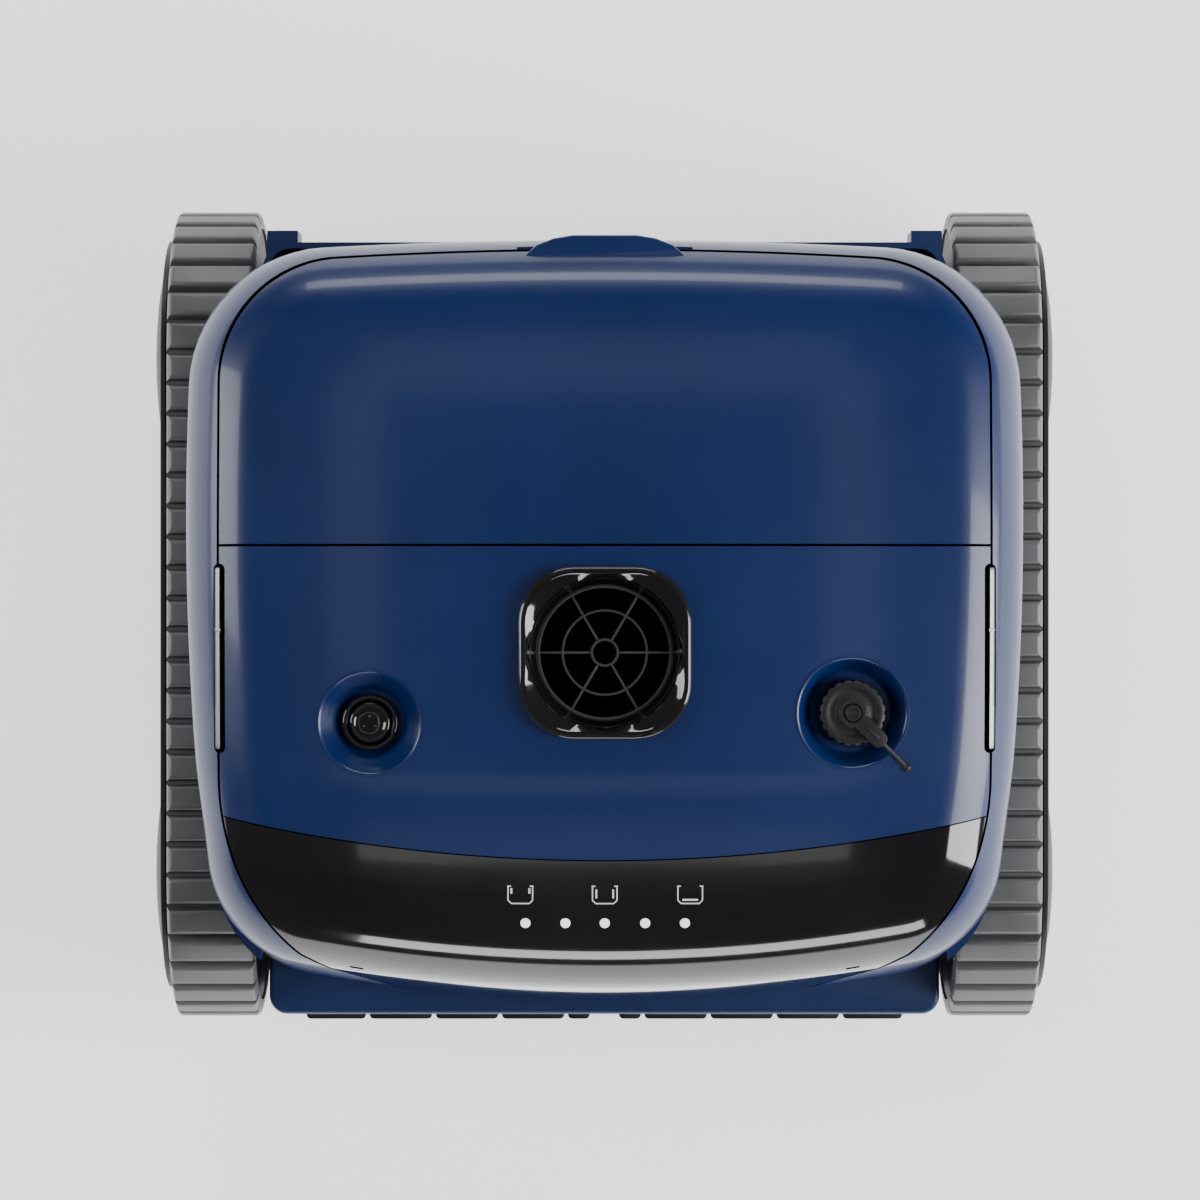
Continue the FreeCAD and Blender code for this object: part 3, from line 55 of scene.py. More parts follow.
def alone(obj):
    if bpy.context.object and bpy.context.object.mode != "OBJECT":
        bpy.ops.object.mode_set(mode="OBJECT")
    bpy.ops.object.select_all(action="DESELECT")
    obj.select_set(True)
    bpy.context.view_layer.objects.active = obj
    return obj


def pick(obj, faces=None, edges=None, verts=None):
    """Enters edit mode and selects the faces, edges or vertices that pass a test."""
    alone(obj)
    bpy.ops.object.mode_set(mode="EDIT")
    bpy.ops.mesh.select_all(action="DESELECT")
    kind = "FACE" if faces else "EDGE" if edges else "VERT"
    bpy.ops.mesh.select_mode(type=kind)
    net = bmesh.from_edit_mesh(obj.data)
    chosen = {"FACE": net.faces, "EDGE": net.edges, "VERT": net.verts}[kind]
    test = faces or edges or verts
    count = 0
    for item in chosen:
        if test(item):
            item.select_set(True)
            count += 1
    net.select_flush_mode()
    bmesh.update_edit_mesh(obj.data)
    return count


def leave():
    bpy.ops.object.mode_set(mode="OBJECT")


def settle(obj):
    """Puts an object's place, turn and scale into its mesh."""
    alone(obj)
    bpy.ops.object.transform_apply(location=True, rotation=True, scale=True)
    return obj


def modify(obj, kind, **settings):
    """Adds a modifier with the given settings and applies it."""
    alone(obj)
    modifier = obj.modifiers.new(kind.lower(), kind)
    for key, value in settings.items():
        setattr(modifier, key, value)
    bpy.ops.object.modifier_apply(modifier=modifier.name)
    return obj


def carve(obj, tool, operation="DIFFERENCE", keep_tool=False):
    """Cuts obj with tool, or keeps only what they share, or joins them."""
    modify(obj, "BOOLEAN", object=tool, operation=operation, solver="EXACT")
    if not keep_tool:
        bpy.data.objects.remove(tool)
    return obj


def twin(obj, name):
    """A copy with a mesh of its own."""
    other = obj.copy()
    other.data = obj.data.copy()
    other.name = name
    other.data.name = name
    bpy.context.collection.objects.link(other)
    return other


def joined(name, pieces):
    """Several objects made one."""
    alone(pieces[0])
    for piece in pieces[1:]:
        piece.select_set(True)
    if len(pieces) > 1:
        bpy.ops.object.join()
    whole = bpy.context.object
    whole.name = name
    whole.data.name = name
    return settle(whole)


def turned_in(obj):
    """Makes every face point outwards after doubles are merged."""
    pick(obj, faces=lambda f: True)
    bpy.ops.mesh.remove_doubles(threshold=0.00002)
    bpy.ops.mesh.normals_make_consistent(inside=False)
    leave()
    return obj


def soft(obj, degrees=35):
    """Smooth shading that keeps edges sharper than an angle."""
    alone(obj)
    bpy.ops.object.shade_smooth_by_angle(angle=math.radians(degrees))
    return obj


# %% Starting shapes
def flat_outline(name, points, z):
    """A single face over a closed outline of (x, y) points in millimetres."""
    mesh = bpy.data.meshes.new(name)
    mesh.from_pydata([(x * MM, y * MM, z * MM) for x, y in points], [], [list(range(len(points)))])
    obj = bpy.data.objects.new(name, mesh)
    bpy.context.collection.objects.link(obj)
    return obj


def raised(name, points, low, high):
    """An upright solid over an outline."""
    obj = flat_outline(name, points, low)
    pick(obj, faces=lambda f: True)
    bpy.ops.mesh.extrude_region_move(TRANSFORM_OT_translate={"value": (0, 0, (high - low) * MM)})
    bpy.ops.mesh.select_all(action="SELECT")
    bpy.ops.mesh.normals_make_consistent(inside=False)
    leave()
    return obj


def slab(name, x, y, z):
    """A cube operator's box between three (low, high) pairs, in millimetres."""
    bpy.ops.object.select_all(action="DESELECT")
    middle = [(low + high) / 2 * MM for low, high in (x, y, z)]
    bpy.ops.mesh.primitive_cube_add(size=1, location=middle)
    obj = bpy.context.object
    obj.name = name
    obj.scale = [(high - low) * MM for low, high in (x, y, z)]
    return settle(obj)


def drum(name, r, low, high, at, axis="z", sides=48):
    """A cylinder operator's rod along x, y or z. at gives the other two coordinates in order."""
    bpy.ops.object.select_all(action="DESELECT")
    spot = list(at)
    spot.insert("xyz".index(axis), (low + high) / 2)
    turn = {"x": (0, math.pi / 2, 0), "y": (math.pi / 2, 0, 0), "z": (0, 0, 0)}[axis]
    bpy.ops.mesh.primitive_cylinder_add(vertices=sides, radius=r * MM, depth=(high - low) * MM,
                                        location=[v * MM for v in spot], rotation=turn)
    obj = bpy.context.object
    obj.name = name
    return settle(obj)


def lathed(name, profile, at=(0, 0), steps=96, tilt=None):
    """A closed ring or cap turned about an upright axis. profile holds (radius, height) points."""
    mesh = bpy.data.meshes.new(name)
    ends = [(i, i + 1) for i in range(len(profile) - 1)]
    mesh.from_pydata([(r * MM, 0, z * MM) for r, z in profile], ends, [])
    obj = bpy.data.objects.new(name, mesh)
    bpy.context.collection.objects.link(obj)
    pick(obj, verts=lambda v: True)
    bpy.ops.mesh.spin(steps=steps, angle=2 * math.pi, center=(0, 0, 0), axis=(0, 0, 1))
    bpy.ops.mesh.select_all(action="SELECT")
    bpy.ops.mesh.remove_doubles(threshold=0.00001)
    bpy.ops.mesh.normals_make_consistent(inside=False)
    leave()
    if tilt:
        obj.rotation_euler = tilt
    obj.location = (at[0] * MM, at[1] * MM, (at[2] if len(at) > 2 else 0) * MM)
    return settle(obj)


def arc(cx, cy, r, start, end, steps):
    """Points on an arc, in degrees, without its last point."""
    return [
        (cx + r * math.cos(math.radians(start + (end - start) * i / steps)),
         cy + r * math.sin(math.radians(start + (end - start) * i / steps)))
        for i in range(steps)
    ]


def show(obj, body, paint, slot, *stands_for):
    """Gives a finished piece its material and body, and hides the CAD nodes that it stands for."""
    obj.data.materials.clear()
    obj.data.materials.append(paint)
    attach(obj, body)
    if stands_for:
        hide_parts(*stands_for)
    tris = sum(len(p.vertices) - 2 for p in obj.data.polygons)
    print(f"{obj.name}: {tris} triangles, rides on {body}")
    return obj


# %% [markdown]
# ## Finishes
# Every finish is a Principled shader. Moulded plastic is never one flat value: its colour drifts a little
# over a hand's width, its gloss varies with handling, and a fine bump gives the grain of the mould. One
# builder makes them all from a few numbers, and the patterns read Object coordinates, so they stay on the
# piece as it moves.

# %% A builder for moulded and metal finishes
def finish(name, colour, drift=0.12, drift_size=9, rough=0.35, rough_range=0.08, grain=900, bump=0.05,
           metal=0.0, coat=0.0, coat_rough=0.05, stretch=(1, 1, 1), lift=0.02):
    """A Principled material with drifting colour, varied gloss and a grain bump."""
    paint = bpy.data.materials.new(name)
    paint.use_nodes = True
    nodes, links = paint.node_tree.nodes, paint.node_tree.links
    shader = nodes["Principled BSDF"]
    shader.inputs["Metallic"].default_value = metal
    shader.inputs["Coat Weight"].default_value = coat
    shader.inputs["Coat Roughness"].default_value = coat_rough

    place = nodes.new("ShaderNodeTexCoord")
    mapping = nodes.new("ShaderNodeMapping")
    mapping.inputs["Scale"].default_value = stretch
    links.new(place.outputs["Object"], mapping.inputs["Vector"])

    def noise(size, detail, roughness=0.55):
        node = nodes.new("ShaderNodeTexNoise")
        node.inputs["Scale"].default_value = size
        node.inputs["Detail"].default_value = detail
        node.inputs["Roughness"].default_value = roughness
        links.new(mapping.outputs["Vector"], node.inputs["Vector"])
        return node

    cloud = noise(drift_size, 4)
    shades = nodes.new("ShaderNodeValToRGB")
    shades.color_ramp.elements[0].position = 0.3
    shades.color_ramp.elements[1].position = 0.7
    shades.color_ramp.elements[0].color = [c * (1 - drift) for c in colour] + [1]
    shades.color_ramp.elements[1].color = [min(1, c * (1 + drift) + lift * drift) for c in colour] + [1]
    links.new(cloud.outputs["Fac"], shades.inputs["Fac"])
    links.new(shades.outputs["Color"], shader.inputs["Base Color"])

    smear = noise(drift_size * 4, 6, 0.65)
    gloss = nodes.new("ShaderNodeMapRange")
    gloss.inputs["To Min"].default_value = max(0.02, rough - rough_range)
    gloss.inputs["To Max"].default_value = min(1, rough + rough_range)
    links.new(smear.outputs["Fac"], gloss.inputs["Value"])
    links.new(gloss.outputs["Result"], shader.inputs["Roughness"])

    if bump:
        fine = noise(grain, 2, 0.5)
        relief = nodes.new("ShaderNodeBump")
        relief.inputs["Strength"].default_value = bump
        relief.inputs["Distance"].default_value = 0.0004
        links.new(fine.outputs["Fac"], relief.inputs["Height"])
        links.new(relief.outputs["Normal"], shader.inputs["Normal"])
    return paint


# %% [markdown]
# The hood is injection-moulded ABS in deep blue under a clear glossy skin. The visor is a piano-black
# acrylic. The belts are a grey rubber with a slight metallic sheen, and everything underneath is a
# grained black plastic.

# %% Finishes for the plastics
HOOD_BLUE = finish("hood_blue", (0.002, 0.018, 0.104), drift=0.10, rough=0.32, rough_range=0.05, grain=1500,
                   bump=0.02, coat=0.35, coat_rough=0.09)
CHASSIS_BLUE = finish("chassis_blue", (0.002, 0.018, 0.094), drift=0.12, rough=0.42, grain=1300, bump=0.10,
                      coat=0.15, coat_rough=0.3)
PIANO_BLACK = finish("piano_black", (0.004, 0.004, 0.005), drift=0.2, rough=0.10, rough_range=0.04, grain=400,
                     bump=0.006, coat=1.0, coat_rough=0.04)
COVER_BLACK = finish("cover_black", (0.018, 0.018, 0.02), drift=0.2, rough=0.45, grain=1600, bump=0.25)
GRAINED_BLACK = finish("grained_black", (0.008, 0.008, 0.009), drift=0.25, rough=0.48, grain=1100, bump=0.35)
GRILLE_GREY = finish("grille_grey", (0.05, 0.051, 0.054), drift=0.15, rough=0.30, grain=900, bump=0.1)
GRIP_SATIN = finish("grip_satin", (0.42, 0.44, 0.46), drift=0.06, rough=0.34, grain=1800, bump=0.08,
                    metal=0.35)
BASKET_GREY = finish("basket_grey", (0.10, 0.11, 0.12), drift=0.10, rough=0.45, grain=1200, bump=0.15)
NYLON = finish("gear_nylon", (0.66, 0.64, 0.58), drift=0.06, rough=0.40, grain=700, bump=0.05)
BOARD_GREEN = finish("board_green", (0.01, 0.12, 0.05), drift=0.3, drift_size=160, rough=0.25, coat=0.5)
CELL_WRAP = finish("cell_wrap", (0.01, 0.07, 0.11), drift=0.15, rough=0.22, grain=60, bump=0.15)

# %% Finishes for rubber and metal
TRACK_GREY = finish("track_grey", (0.155, 0.157, 0.16), drift=0.10, drift_size=25, rough=0.42,
                    rough_range=0.07, grain=1400, bump=0.22, metal=0.25)
BRUSH_RUBBER = finish("brush_rubber", (0.012, 0.012, 0.013), drift=0.3, drift_size=30, rough=0.48,
                      grain=800, bump=0.3)
STEEL = finish("steel", (0.55, 0.55, 0.54), drift=0.08, rough=0.28, grain=300, bump=0.08, metal=1.0,
               stretch=(1, 6, 6))
MOTOR_METAL = finish("motor_metal", (0.42, 0.43, 0.45), drift=0.08, rough=0.38, grain=500, bump=0.12,
                     metal=0.9)


# %% Light, ink and mesh
def glow(name, colour, strength):
    paint = finish(name, colour, drift=0.03, rough=0.25, bump=0.0)
    shader = paint.node_tree.nodes["Principled BSDF"]
    shader.inputs["Emission Color"].default_value = [*colour, 1]
    shader.inputs["Emission Strength"].default_value = strength
    return paint


LED_WHITE = glow("led_white", (0.95, 0.97, 1.0), 1.1)
# printed ink with a faint emission: a painted glow, since print gives off no light
ICON_INK_GLOW = glow("icon_ink_painted_glow", (0.75, 0.78, 0.8), 0.25)


def woven(name, dark, light, threads):
    """Filter cloth: two crossed sets of threads, each a rounded wave, with dark pores between."""
    paint = finish(name, light, drift=0.1, rough=0.7, bump=0.0)
    nodes, links = paint.node_tree.nodes, paint.node_tree.links
    place = nodes.new("ShaderNodeTexCoord")
    waves = []
    for axis in ("X", "Z"):
        wave = nodes.new("ShaderNodeTexWave")
        wave.bands_direction = axis
        wave.inputs["Scale"].default_value = threads
        wave.inputs["Distortion"].default_value = 0.2
        links.new(place.outputs["Object"], wave.inputs["Vector"])
        waves.append(wave)
    cross = nodes.new("ShaderNodeMath")
    cross.operation = "MAXIMUM"
    links.new(waves[0].outputs["Fac"], cross.inputs[0])
    links.new(waves[1].outputs["Fac"], cross.inputs[1])
    shades = nodes.new("ShaderNodeValToRGB")
    shades.color_ramp.elements[0].color = [*dark, 1]
    shades.color_ramp.elements[1].color = [*light, 1]
    shades.color_ramp.elements[0].position = 0.45
    links.new(cross.outputs["Value"], shades.inputs["Fac"])
    links.new(shades.outputs["Color"], nodes["Principled BSDF"].inputs["Base Color"])
    relief = nodes.new("ShaderNodeBump")
    relief.inputs["Strength"].default_value = 0.5
    relief.inputs["Distance"].default_value = 0.0003
    links.new(cross.outputs["Value"], relief.inputs["Height"])
    links.new(relief.outputs["Normal"], nodes["Principled BSDF"].inputs["Normal"])
    return paint


FILTER_CLOTH = woven("filter_cloth", (0.05, 0.08, 0.1), (0.42, 0.5, 0.55), 160)

# %% Dress the CAD nodes that stay
def both(*names):
    """The names of pieces that come as a right and a left one."""
    return [f"{name}_{side}" for name in names for side in ("right", "left")]


DRESSED = {
    CHASSIS_BLUE: ["chassis_tub"],
    COVER_BLACK: ["bottom_plate", "mouth_surround", "basket_well"],
    GRAINED_BLACK: ["hinge_brackets", "pump_housing", "outlet_duct", "propeller", "charge_socket",
                    "brush_hanger",
                    *both("track_frame", "brush_core", "wheel_front", "wheel_rear", "roller_front",
                          "roller_rear")],
    BASKET_GREY: ["filter_basket", "basket_sides", "basket_handle"],
    FILTER_CLOTH: ["basket_mesh"],
    BRUSH_RUBBER: ["inlet_flap_front", "inlet_flap_rear"],
    NYLON: both("drive_pinion", "brush_idler"),
    STEEL: ["hinge_pins", "axles", "housing_screws"],
    MOTOR_METAL: ["pump_motor", *both("drive_motor")],
    BOARD_GREEN: ["control_board"],
    CELL_WRAP: ["battery_pack"],
    LED_WHITE: ["light_pipes"],
}
for paint, names in DRESSED.items():
    for name in names:
        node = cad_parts[name]
        node.data.materials.clear()
        node.data.materials.append(paint)
print("dressed", sum(len(names) for names in DRESSED.values()), "CAD nodes")

# %% [markdown]
# ## The hood, as one smooth form
# Lid, deck, visor and side rails are cut from one dome, so that reflections run on across the seams. The
# dome starts as a flat face over the plan outline. It is extruded for the walls, inset and raised in
# small steps round a quarter circle for the shoulder, and then scaled in towards the outlet. At the end
# the whole top is crowned.

# %% Plan outline, from tangent arcs
HOOD_TOP = 243
WAIST = 104
SHOULDER = 34
CROWN = 1300
CROWN_REACH = 1293
UP = Vector((0, 0, 1))
FRONT, REAR, HALF = -190, 177, 198
LEAN = math.tan(math.radians(8))
FRONT_CORNER = (135, -125, 53)
REAR_CORNER = (130, 107, 67)


def end_arc(corner, reach):
    """Radius of the wide arc that closes an end and touches both corner arcs."""
    x, y, r = corner
    a = abs(reach - y)
    return (x * x + a * a - r * r) / (2 * (a - r))


def side_centre():
    """Centre and radius of the wide arc down the side, found by halving."""
    low, high = FRONT_CORNER[1], REAR_CORNER[1]
    for _ in range(60):
        y = (low + high) / 2
        reach = []
        for cx, cy, r in (FRONT_CORNER, REAR_CORNER):
            reach.append(((y - cy) ** 2 + (HALF - cx) ** 2 - r * r) / (2 * (HALF - cx - r)))
        low, high = (y, high) if reach[0] < reach[1] else (low, y)
    return HALF - reach[0], y, reach[0]


def heading(cx, cy, x, y):
    return math.degrees(math.atan2(y - cy, x - cx))


def hood_outline():
    """Half the outline from the front middle round the right-hand side, then its mirror image."""
    front_r = end_arc(FRONT_CORNER, FRONT)
    rear_r = end_arc(REAR_CORNER, REAR)
    sx, sy, side_r = side_centre()
    fx, fy, fr = FRONT_CORNER
    rx, ry, rr = REAR_CORNER
    a1 = heading(0, FRONT + front_r, fx, fy)
    a2 = heading(sx, sy, fx, fy)
    a3 = heading(sx, sy, rx, ry)
    a4 = heading(0, REAR - rear_r, rx, ry)
    right = arc(0, FRONT + front_r, front_r, -90, a1, 14)
    right += arc(fx, fy, fr, a1, a2, 14)
    right += arc(sx, sy, side_r, a2, a3, 24)
    right += arc(rx, ry, rr, a3, a4, 14)
    right += arc(0, REAR - rear_r, rear_r, a4, 90, 12)
    right.append((0, REAR))
    left = [(-x, y) for x, y in reversed(right[1:-1])]
    return right + left


outline = hood_outline()
print("hood outline:", len(outline), "points, half width", round(max(x for x, y in outline), 1), "mm")

# %% [markdown]
# The front wall leans back by a few degrees, and the crown is part of a large sphere. Both are gentle
# moves of every vertex by its own place, which keeps the rings of faces even.

# %% Raise the dome
OUTLET_Y = -17.4


def crown_drop(x, y):
    return CROWN - math.sqrt(CROWN * CROWN - x * x - y * y)


def settled(x, y, z):
    """Where a point of the flat-topped form goes when the front leans and the top is crowned, in mm."""
    share = min(1, max(0, (-60 - y) / 65))
    height = z - crown_drop(x, y)
    return x, y + share * share * (3 - 2 * share) * (height - WAIST) * LEAN, height


def dome(name):
    obj = flat_outline(name, outline, 40)
    pick(obj, faces=lambda f: True)
    for rise in (30, 34, 30, 30, HOOD_TOP - SHOULDER - 164):
        bpy.ops.mesh.extrude_region_move(TRANSFORM_OT_translate={"value": (0, 0, rise * MM)})
    steps = 12
    for i in range(steps):
        a, b = math.pi / 2 * i / steps, math.pi / 2 * (i + 1) / steps
        bpy.ops.mesh.inset(thickness=SHOULDER * (math.cos(a) - math.cos(b)) * MM,
                           depth=SHOULDER * (math.sin(b) - math.sin(a)) * MM)
    size = 1.0
    for share in (0.94, 0.87, 0.79, 0.70, 0.61, 0.52, 0.43, 0.34, 0.26, 0.18):
        bpy.ops.mesh.extrude_region_move(TRANSFORM_OT_translate={"value": (0, 0, 0)})
        bpy.ops.transform.resize(value=(share / size, share / size, 1), center_override=(0, OUTLET_Y * MM, 0))
        size = share
    leave()
    for v in obj.data.vertices:
        x, y, z = settled(v.co.x / MM, v.co.y / MM, v.co.z / MM)
        v.co = (x * MM, y * MM, z * MM)
    pick(obj, faces=lambda f: f.normal.z < -0.9)
    bpy.ops.mesh.delete(type="FACE")
    bpy.ops.mesh.select_all(action="SELECT")
    bpy.ops.mesh.normals_make_consistent(inside=False)
    leave()
    return obj


skin_guide = dome("skin_guide")
print("dome:", len(skin_guide.data.polygons), "faces, top",
      round(max(v.co.z for v in skin_guide.data.vertices), 4))

# %% [markdown]
# ## Panels
# The dome becomes a wall 2.5 mm thick, and Boolean cutters part it along the crease, the lid's seam and
# the visor's arc, with a real gap of 1.2 mm. A cut leaves long thin faces that would ripple in a glossy
# finish, so each panel's outer faces then take their normals from the uncut dome.

# %% Cutters along the crease
def through(p, q, r, steps):
    """Points on the arc through three points, without the last."""
    ax, ay, bx, by, cx, cy = *p, *q, *r
    d = 2 * (ax * (by - cy) + bx * (cy - ay) + cx * (ay - by))
    aa, bb, cc = ax * ax + ay * ay, bx * bx + by * by, cx * cx + cy * cy
    ux = (aa * (by - cy) + bb * (cy - ay) + cc * (ay - by)) / d
    uy = (aa * (cx - bx) + bb * (ax - cx) + cc * (bx - ax)) / d
    a, c = heading(ux, uy, ax, ay), heading(ux, uy, cx, cy)
    while c < a:
        c += 360
    return arc(ux, uy, math.hypot(ax - ux, ay - uy), a, c, steps)


def crease_outline(offset):
    w, rear = 180.4 + offset, 169.5 + offset
    right = [(96 + offset, -186)]
    right += through((143 + offset * 0.8, -160 - offset * 0.5), (168 + offset, -128), (w, -80), 24)
    right += [(w, -80), (w, -30), (w, 20), (w, 70)]
    right += through((w, rear - 60), (w - 17.1, rear - 18.8), (w - 52, rear - 2), 26)
    right += through((w - 52, rear - 2), (0, rear + 1.5), (52 - w, rear - 2), 24)[:13]
    left = [(-x, y) for x, y in reversed(right[:-1])]
    return [(-60, -215), (60, -215)] + right + left


GAP = 0.6
SEAM_Y = 32.5
WALL = 2.5
FAR = 300
inside = raised("crease_inside", crease_outline(-GAP), 60, FAR)
outside = raised("crease_outside", crease_outline(GAP), 60, FAR)

# %% Thicken the dome
skin = modify(twin(skin_guide, "skin"), "SOLIDIFY", thickness=WALL * MM, offset=-1, use_even_offset=False)
print("skin wall:", len(skin.data.polygons), "faces")

# %% Helpers that read the uncut dome
from mathutils.bvhtree import BVHTree
from mathutils.interpolate import poly_3d_calc

guide_tree = BVHTree.FromObject(skin_guide, bpy.context.evaluated_depsgraph_get())


def on_skin(x, y):
    """Height and outward direction of the dome above a point, in millimetres."""
    hit, normal, face, far = guide_tree.ray_cast(Vector((x * MM, y * MM, 1)), Vector((0, 0, -1)))
    return hit.z / MM, normal


def guide_normal(point, face):
    polygon = skin_guide.data.polygons[face]
    corners = [skin_guide.data.vertices[i] for i in polygon.vertices]
    weights = poly_3d_calc([v.co for v in corners], point)
    return sum((v.normal * w for v, w in zip(corners, weights)), Vector()).normalized()


def sleek(obj, near=0.3):
    """Outer faces take the dome's own normals, so that cuts leave no ripple. The rest smooth by angle."""
    soft(obj, 30)
    mesh = obj.data
    custom = [Vector(corner.vector) for corner in mesh.corner_normals]
    taken = 0
    for polygon in mesh.polygons:
        hit, normal, face, far = guide_tree.find_nearest(polygon.center)
        if far > near * MM or normal.dot(polygon.normal) < 0.9:
            continue
        taken += 1
        for i in polygon.loop_indices:
            point = mesh.vertices[mesh.loops[i].vertex_index].co
            spot, direction, nearest, gap = guide_tree.find_nearest(point)
            custom[i] = guide_normal(spot, nearest)
    mesh.normals_split_custom_set(custom)
    print(f"{obj.name}: {taken} of {len(mesh.polygons)} faces follow the dome")
    return obj


# %% [markdown]
# The lid is everything behind the seam and inside the crease. Its finger lip is a small shelf with a
# rounded front, and two knuckles under the front edge turn on the hinge pins.

# %% Lid
HINGE_Y, HINGE_Z = 43.1, 233
lid = carve(twin(skin, "lid_panel"), inside, "INTERSECT", keep_tool=True)
carve(lid, slab("behind", (-FAR, FAR), (SEAM_Y + GAP, FAR), (60, FAR)), "INTERSECT")


def bevelled(obj, width, segments=3, degrees=40):
    return modify(obj, "BEVEL", width=width * MM, segments=segments, angle_limit=math.radians(degrees),
                  harden_normals=False)


lip_half = [(15, 177.7), (24, 176.2), (32, 173), (38, 167.5), (40, 162.5)]
lip = raised("lid_lip", [(-x, y) for x, y in reversed(lip_half)] + lip_half, 216.4, 220.4)
turned_in(lip)
soft(bevelled(lip, 0.9))

under_lid = []
for side in (-1, 1):
    x = side * 72
    knuckle = drum("knuckle", 4.8, x - 6, x + 6, (HINGE_Y, HINGE_Z), "x", 40)
    carve(knuckle, drum("bore", 2.05, x - 8, x + 8, (HINGE_Y, HINGE_Z), "x", 32))
    web = slab("web", (x - 6, x + 6), (HINGE_Y - 4.8, HINGE_Y + 4.8), (HINGE_Z + 2.6, 238.4))
    under_lid += [soft(knuckle), web]
# stiffening ribs under the lid follow its inner face
for y in (70, 105, 140):
    rib = slab("rib", (-120, 120), (y - 0.9, y + 0.9), (0, 4))
    pick(rib, faces=lambda f: True)
    bpy.ops.mesh.subdivide(number_cuts=12)
    leave()
    for v in rib.data.vertices:
        v.co.z += (on_skin(v.co.x / MM, v.co.y / MM)[0] - 6.2) * MM
    under_lid.append(rib)
sleek(lid)
lid = joined("lid_panel", [lid, lip] + under_lid)
show(lid, "lid", HOOD_BLUE, "shell_blue", "lid")

# %% [markdown]
# The deck carries the outlet and two round dishes. Its rear edge is undercut, because the lid's front
# edge swings down into that space as the lid opens. Only the outermost skin stays there, so that the seam
# looks even.

# %% Deck panel
ARC_R, ARC_MIDDLE = 815, 114
ARC_Y = ARC_R - ARC_MIDDLE
SWEEP_R, KEPT_SKIN = 14.4, 1.2
BUTTON, PORT = (-109.2, -50), (115, -45.4)
DISH = {"button": (BUTTON, 23.6, 14.4), "port": (PORT, 25.4, 19.0)}


def tilt_at(x, y):
    """The turn that leans an upright piece over with the crown."""
    outward = Vector((x, y, CROWN_REACH)).normalized()
    return UP.rotation_difference(outward).to_euler()


def tilted_drum(name, r, low, high, x, y):
    obj = drum(name, r, low, high, (0, 0), "z", 128)
    obj.rotation_euler = tilt_at(x, y)
    obj.location = (x * MM, y * MM, on_skin(x, y)[0] * MM)
    return settle(obj)


def rounded_square(size, corner, steps=10):
    half, points = size / 2 - corner, []
    middles = [(half, half), (-half, half), (-half, -half), (half, -half)]
    for i, (cx, cy) in enumerate(middles):
        points += arc(cx, cy + OUTLET_Y, corner, 90 * i, 90 * i + 90, steps)
        nx, ny = middles[(i + 1) % 4]
        dx, dy = ((0, corner), (-corner, 0), (0, -corner), (corner, 0))[i]
        points += [(cx + dx + (nx - cx) * k / 6, cy + dy + OUTLET_Y + (ny - cy) * k / 6) for k in range(6)]
    return points


def vent_outline(side, near=177, far=182.6, low=-64.5, high=24):
    r = (far - near) / 2
    middle = (near + far) / 2
    points = arc(middle, high - r, r, 0, 180, 12) + [(near, high - r)]
    points += arc(middle, low + r, r, 180, 360, 12) + [(far, low + r)]
    return [(side * x, y) for x, y in points]


def vent_cutters():
    return [turned_in(raised("vent", vent_outline(side), 205, 260)) for side in (-1, 1)]


under_skin = twin(skin_guide, "under_skin")
under_skin.location.z = -KEPT_SKIN * MM
pick(settle(under_skin), edges=lambda e: e.is_boundary)
bpy.ops.mesh.edge_face_add()
leave()
lid_sweep = carve(drum("lid_sweep", SWEEP_R, -FAR, FAR, (HINGE_Y, HINGE_Z), "x", 96), under_skin, "INTERSECT")

deck = carve(twin(skin, "deck_panel"), inside, "INTERSECT", keep_tool=True)
carve(deck, slab("before", (-FAR, FAR), (-FAR, SEAM_Y - GAP), (60, FAR)), "INTERSECT")
carve(deck, drum("visor_arc", ARC_R - GAP / 2, 100, FAR, (0, ARC_Y), "z", 900), "INTERSECT")
carve(deck, lid_sweep)
carve(deck, turned_in(raised("outlet_hole", rounded_square(75, 23.5), 200, FAR)))
for (x, y), rim, floor in DISH.values():
    carve(deck, tilted_drum("dish_hole", rim + 1.2, -8, 8, x, y))
for cutter in vent_cutters():
    carve(deck, cutter)
sleek(deck)
show(deck, "chassis", HOOD_BLUE, "shell_blue", "front_deck")

# %% Dishes, turned as one profile each and tilted to lie in the crown
for name, ((x, y), rim, floor) in DISH.items():
    depth = on_skin(x, y)[0] - 226
    profile = [(rim + 1.35, -2.4), (rim + 1.35, 0.0), (rim + 0.9, 0.1), (rim + 0.3, -0.05), (rim - 0.3, -0.5)]
    profile += [(rim - 0.8, -1.15), (floor + 1.0, 0.9 - depth), (floor + 0.4, 0.35 - depth),
                (floor - 0.5, -depth)]
    profile += [(11.1, -depth), (11.1, -depth - 2.4), (floor + 2, -depth - 2.4), (rim + 0.2, -3.2),
                (rim + 1.35, -2.4)]
    z, normal = on_skin(x, y)
    dish = lathed(f"{name}_dish", profile, (x, y, z), 112, tilt_at(x, y))
    soft(dish, 50)
    show(dish, "chassis", HOOD_BLUE, "shell_blue")

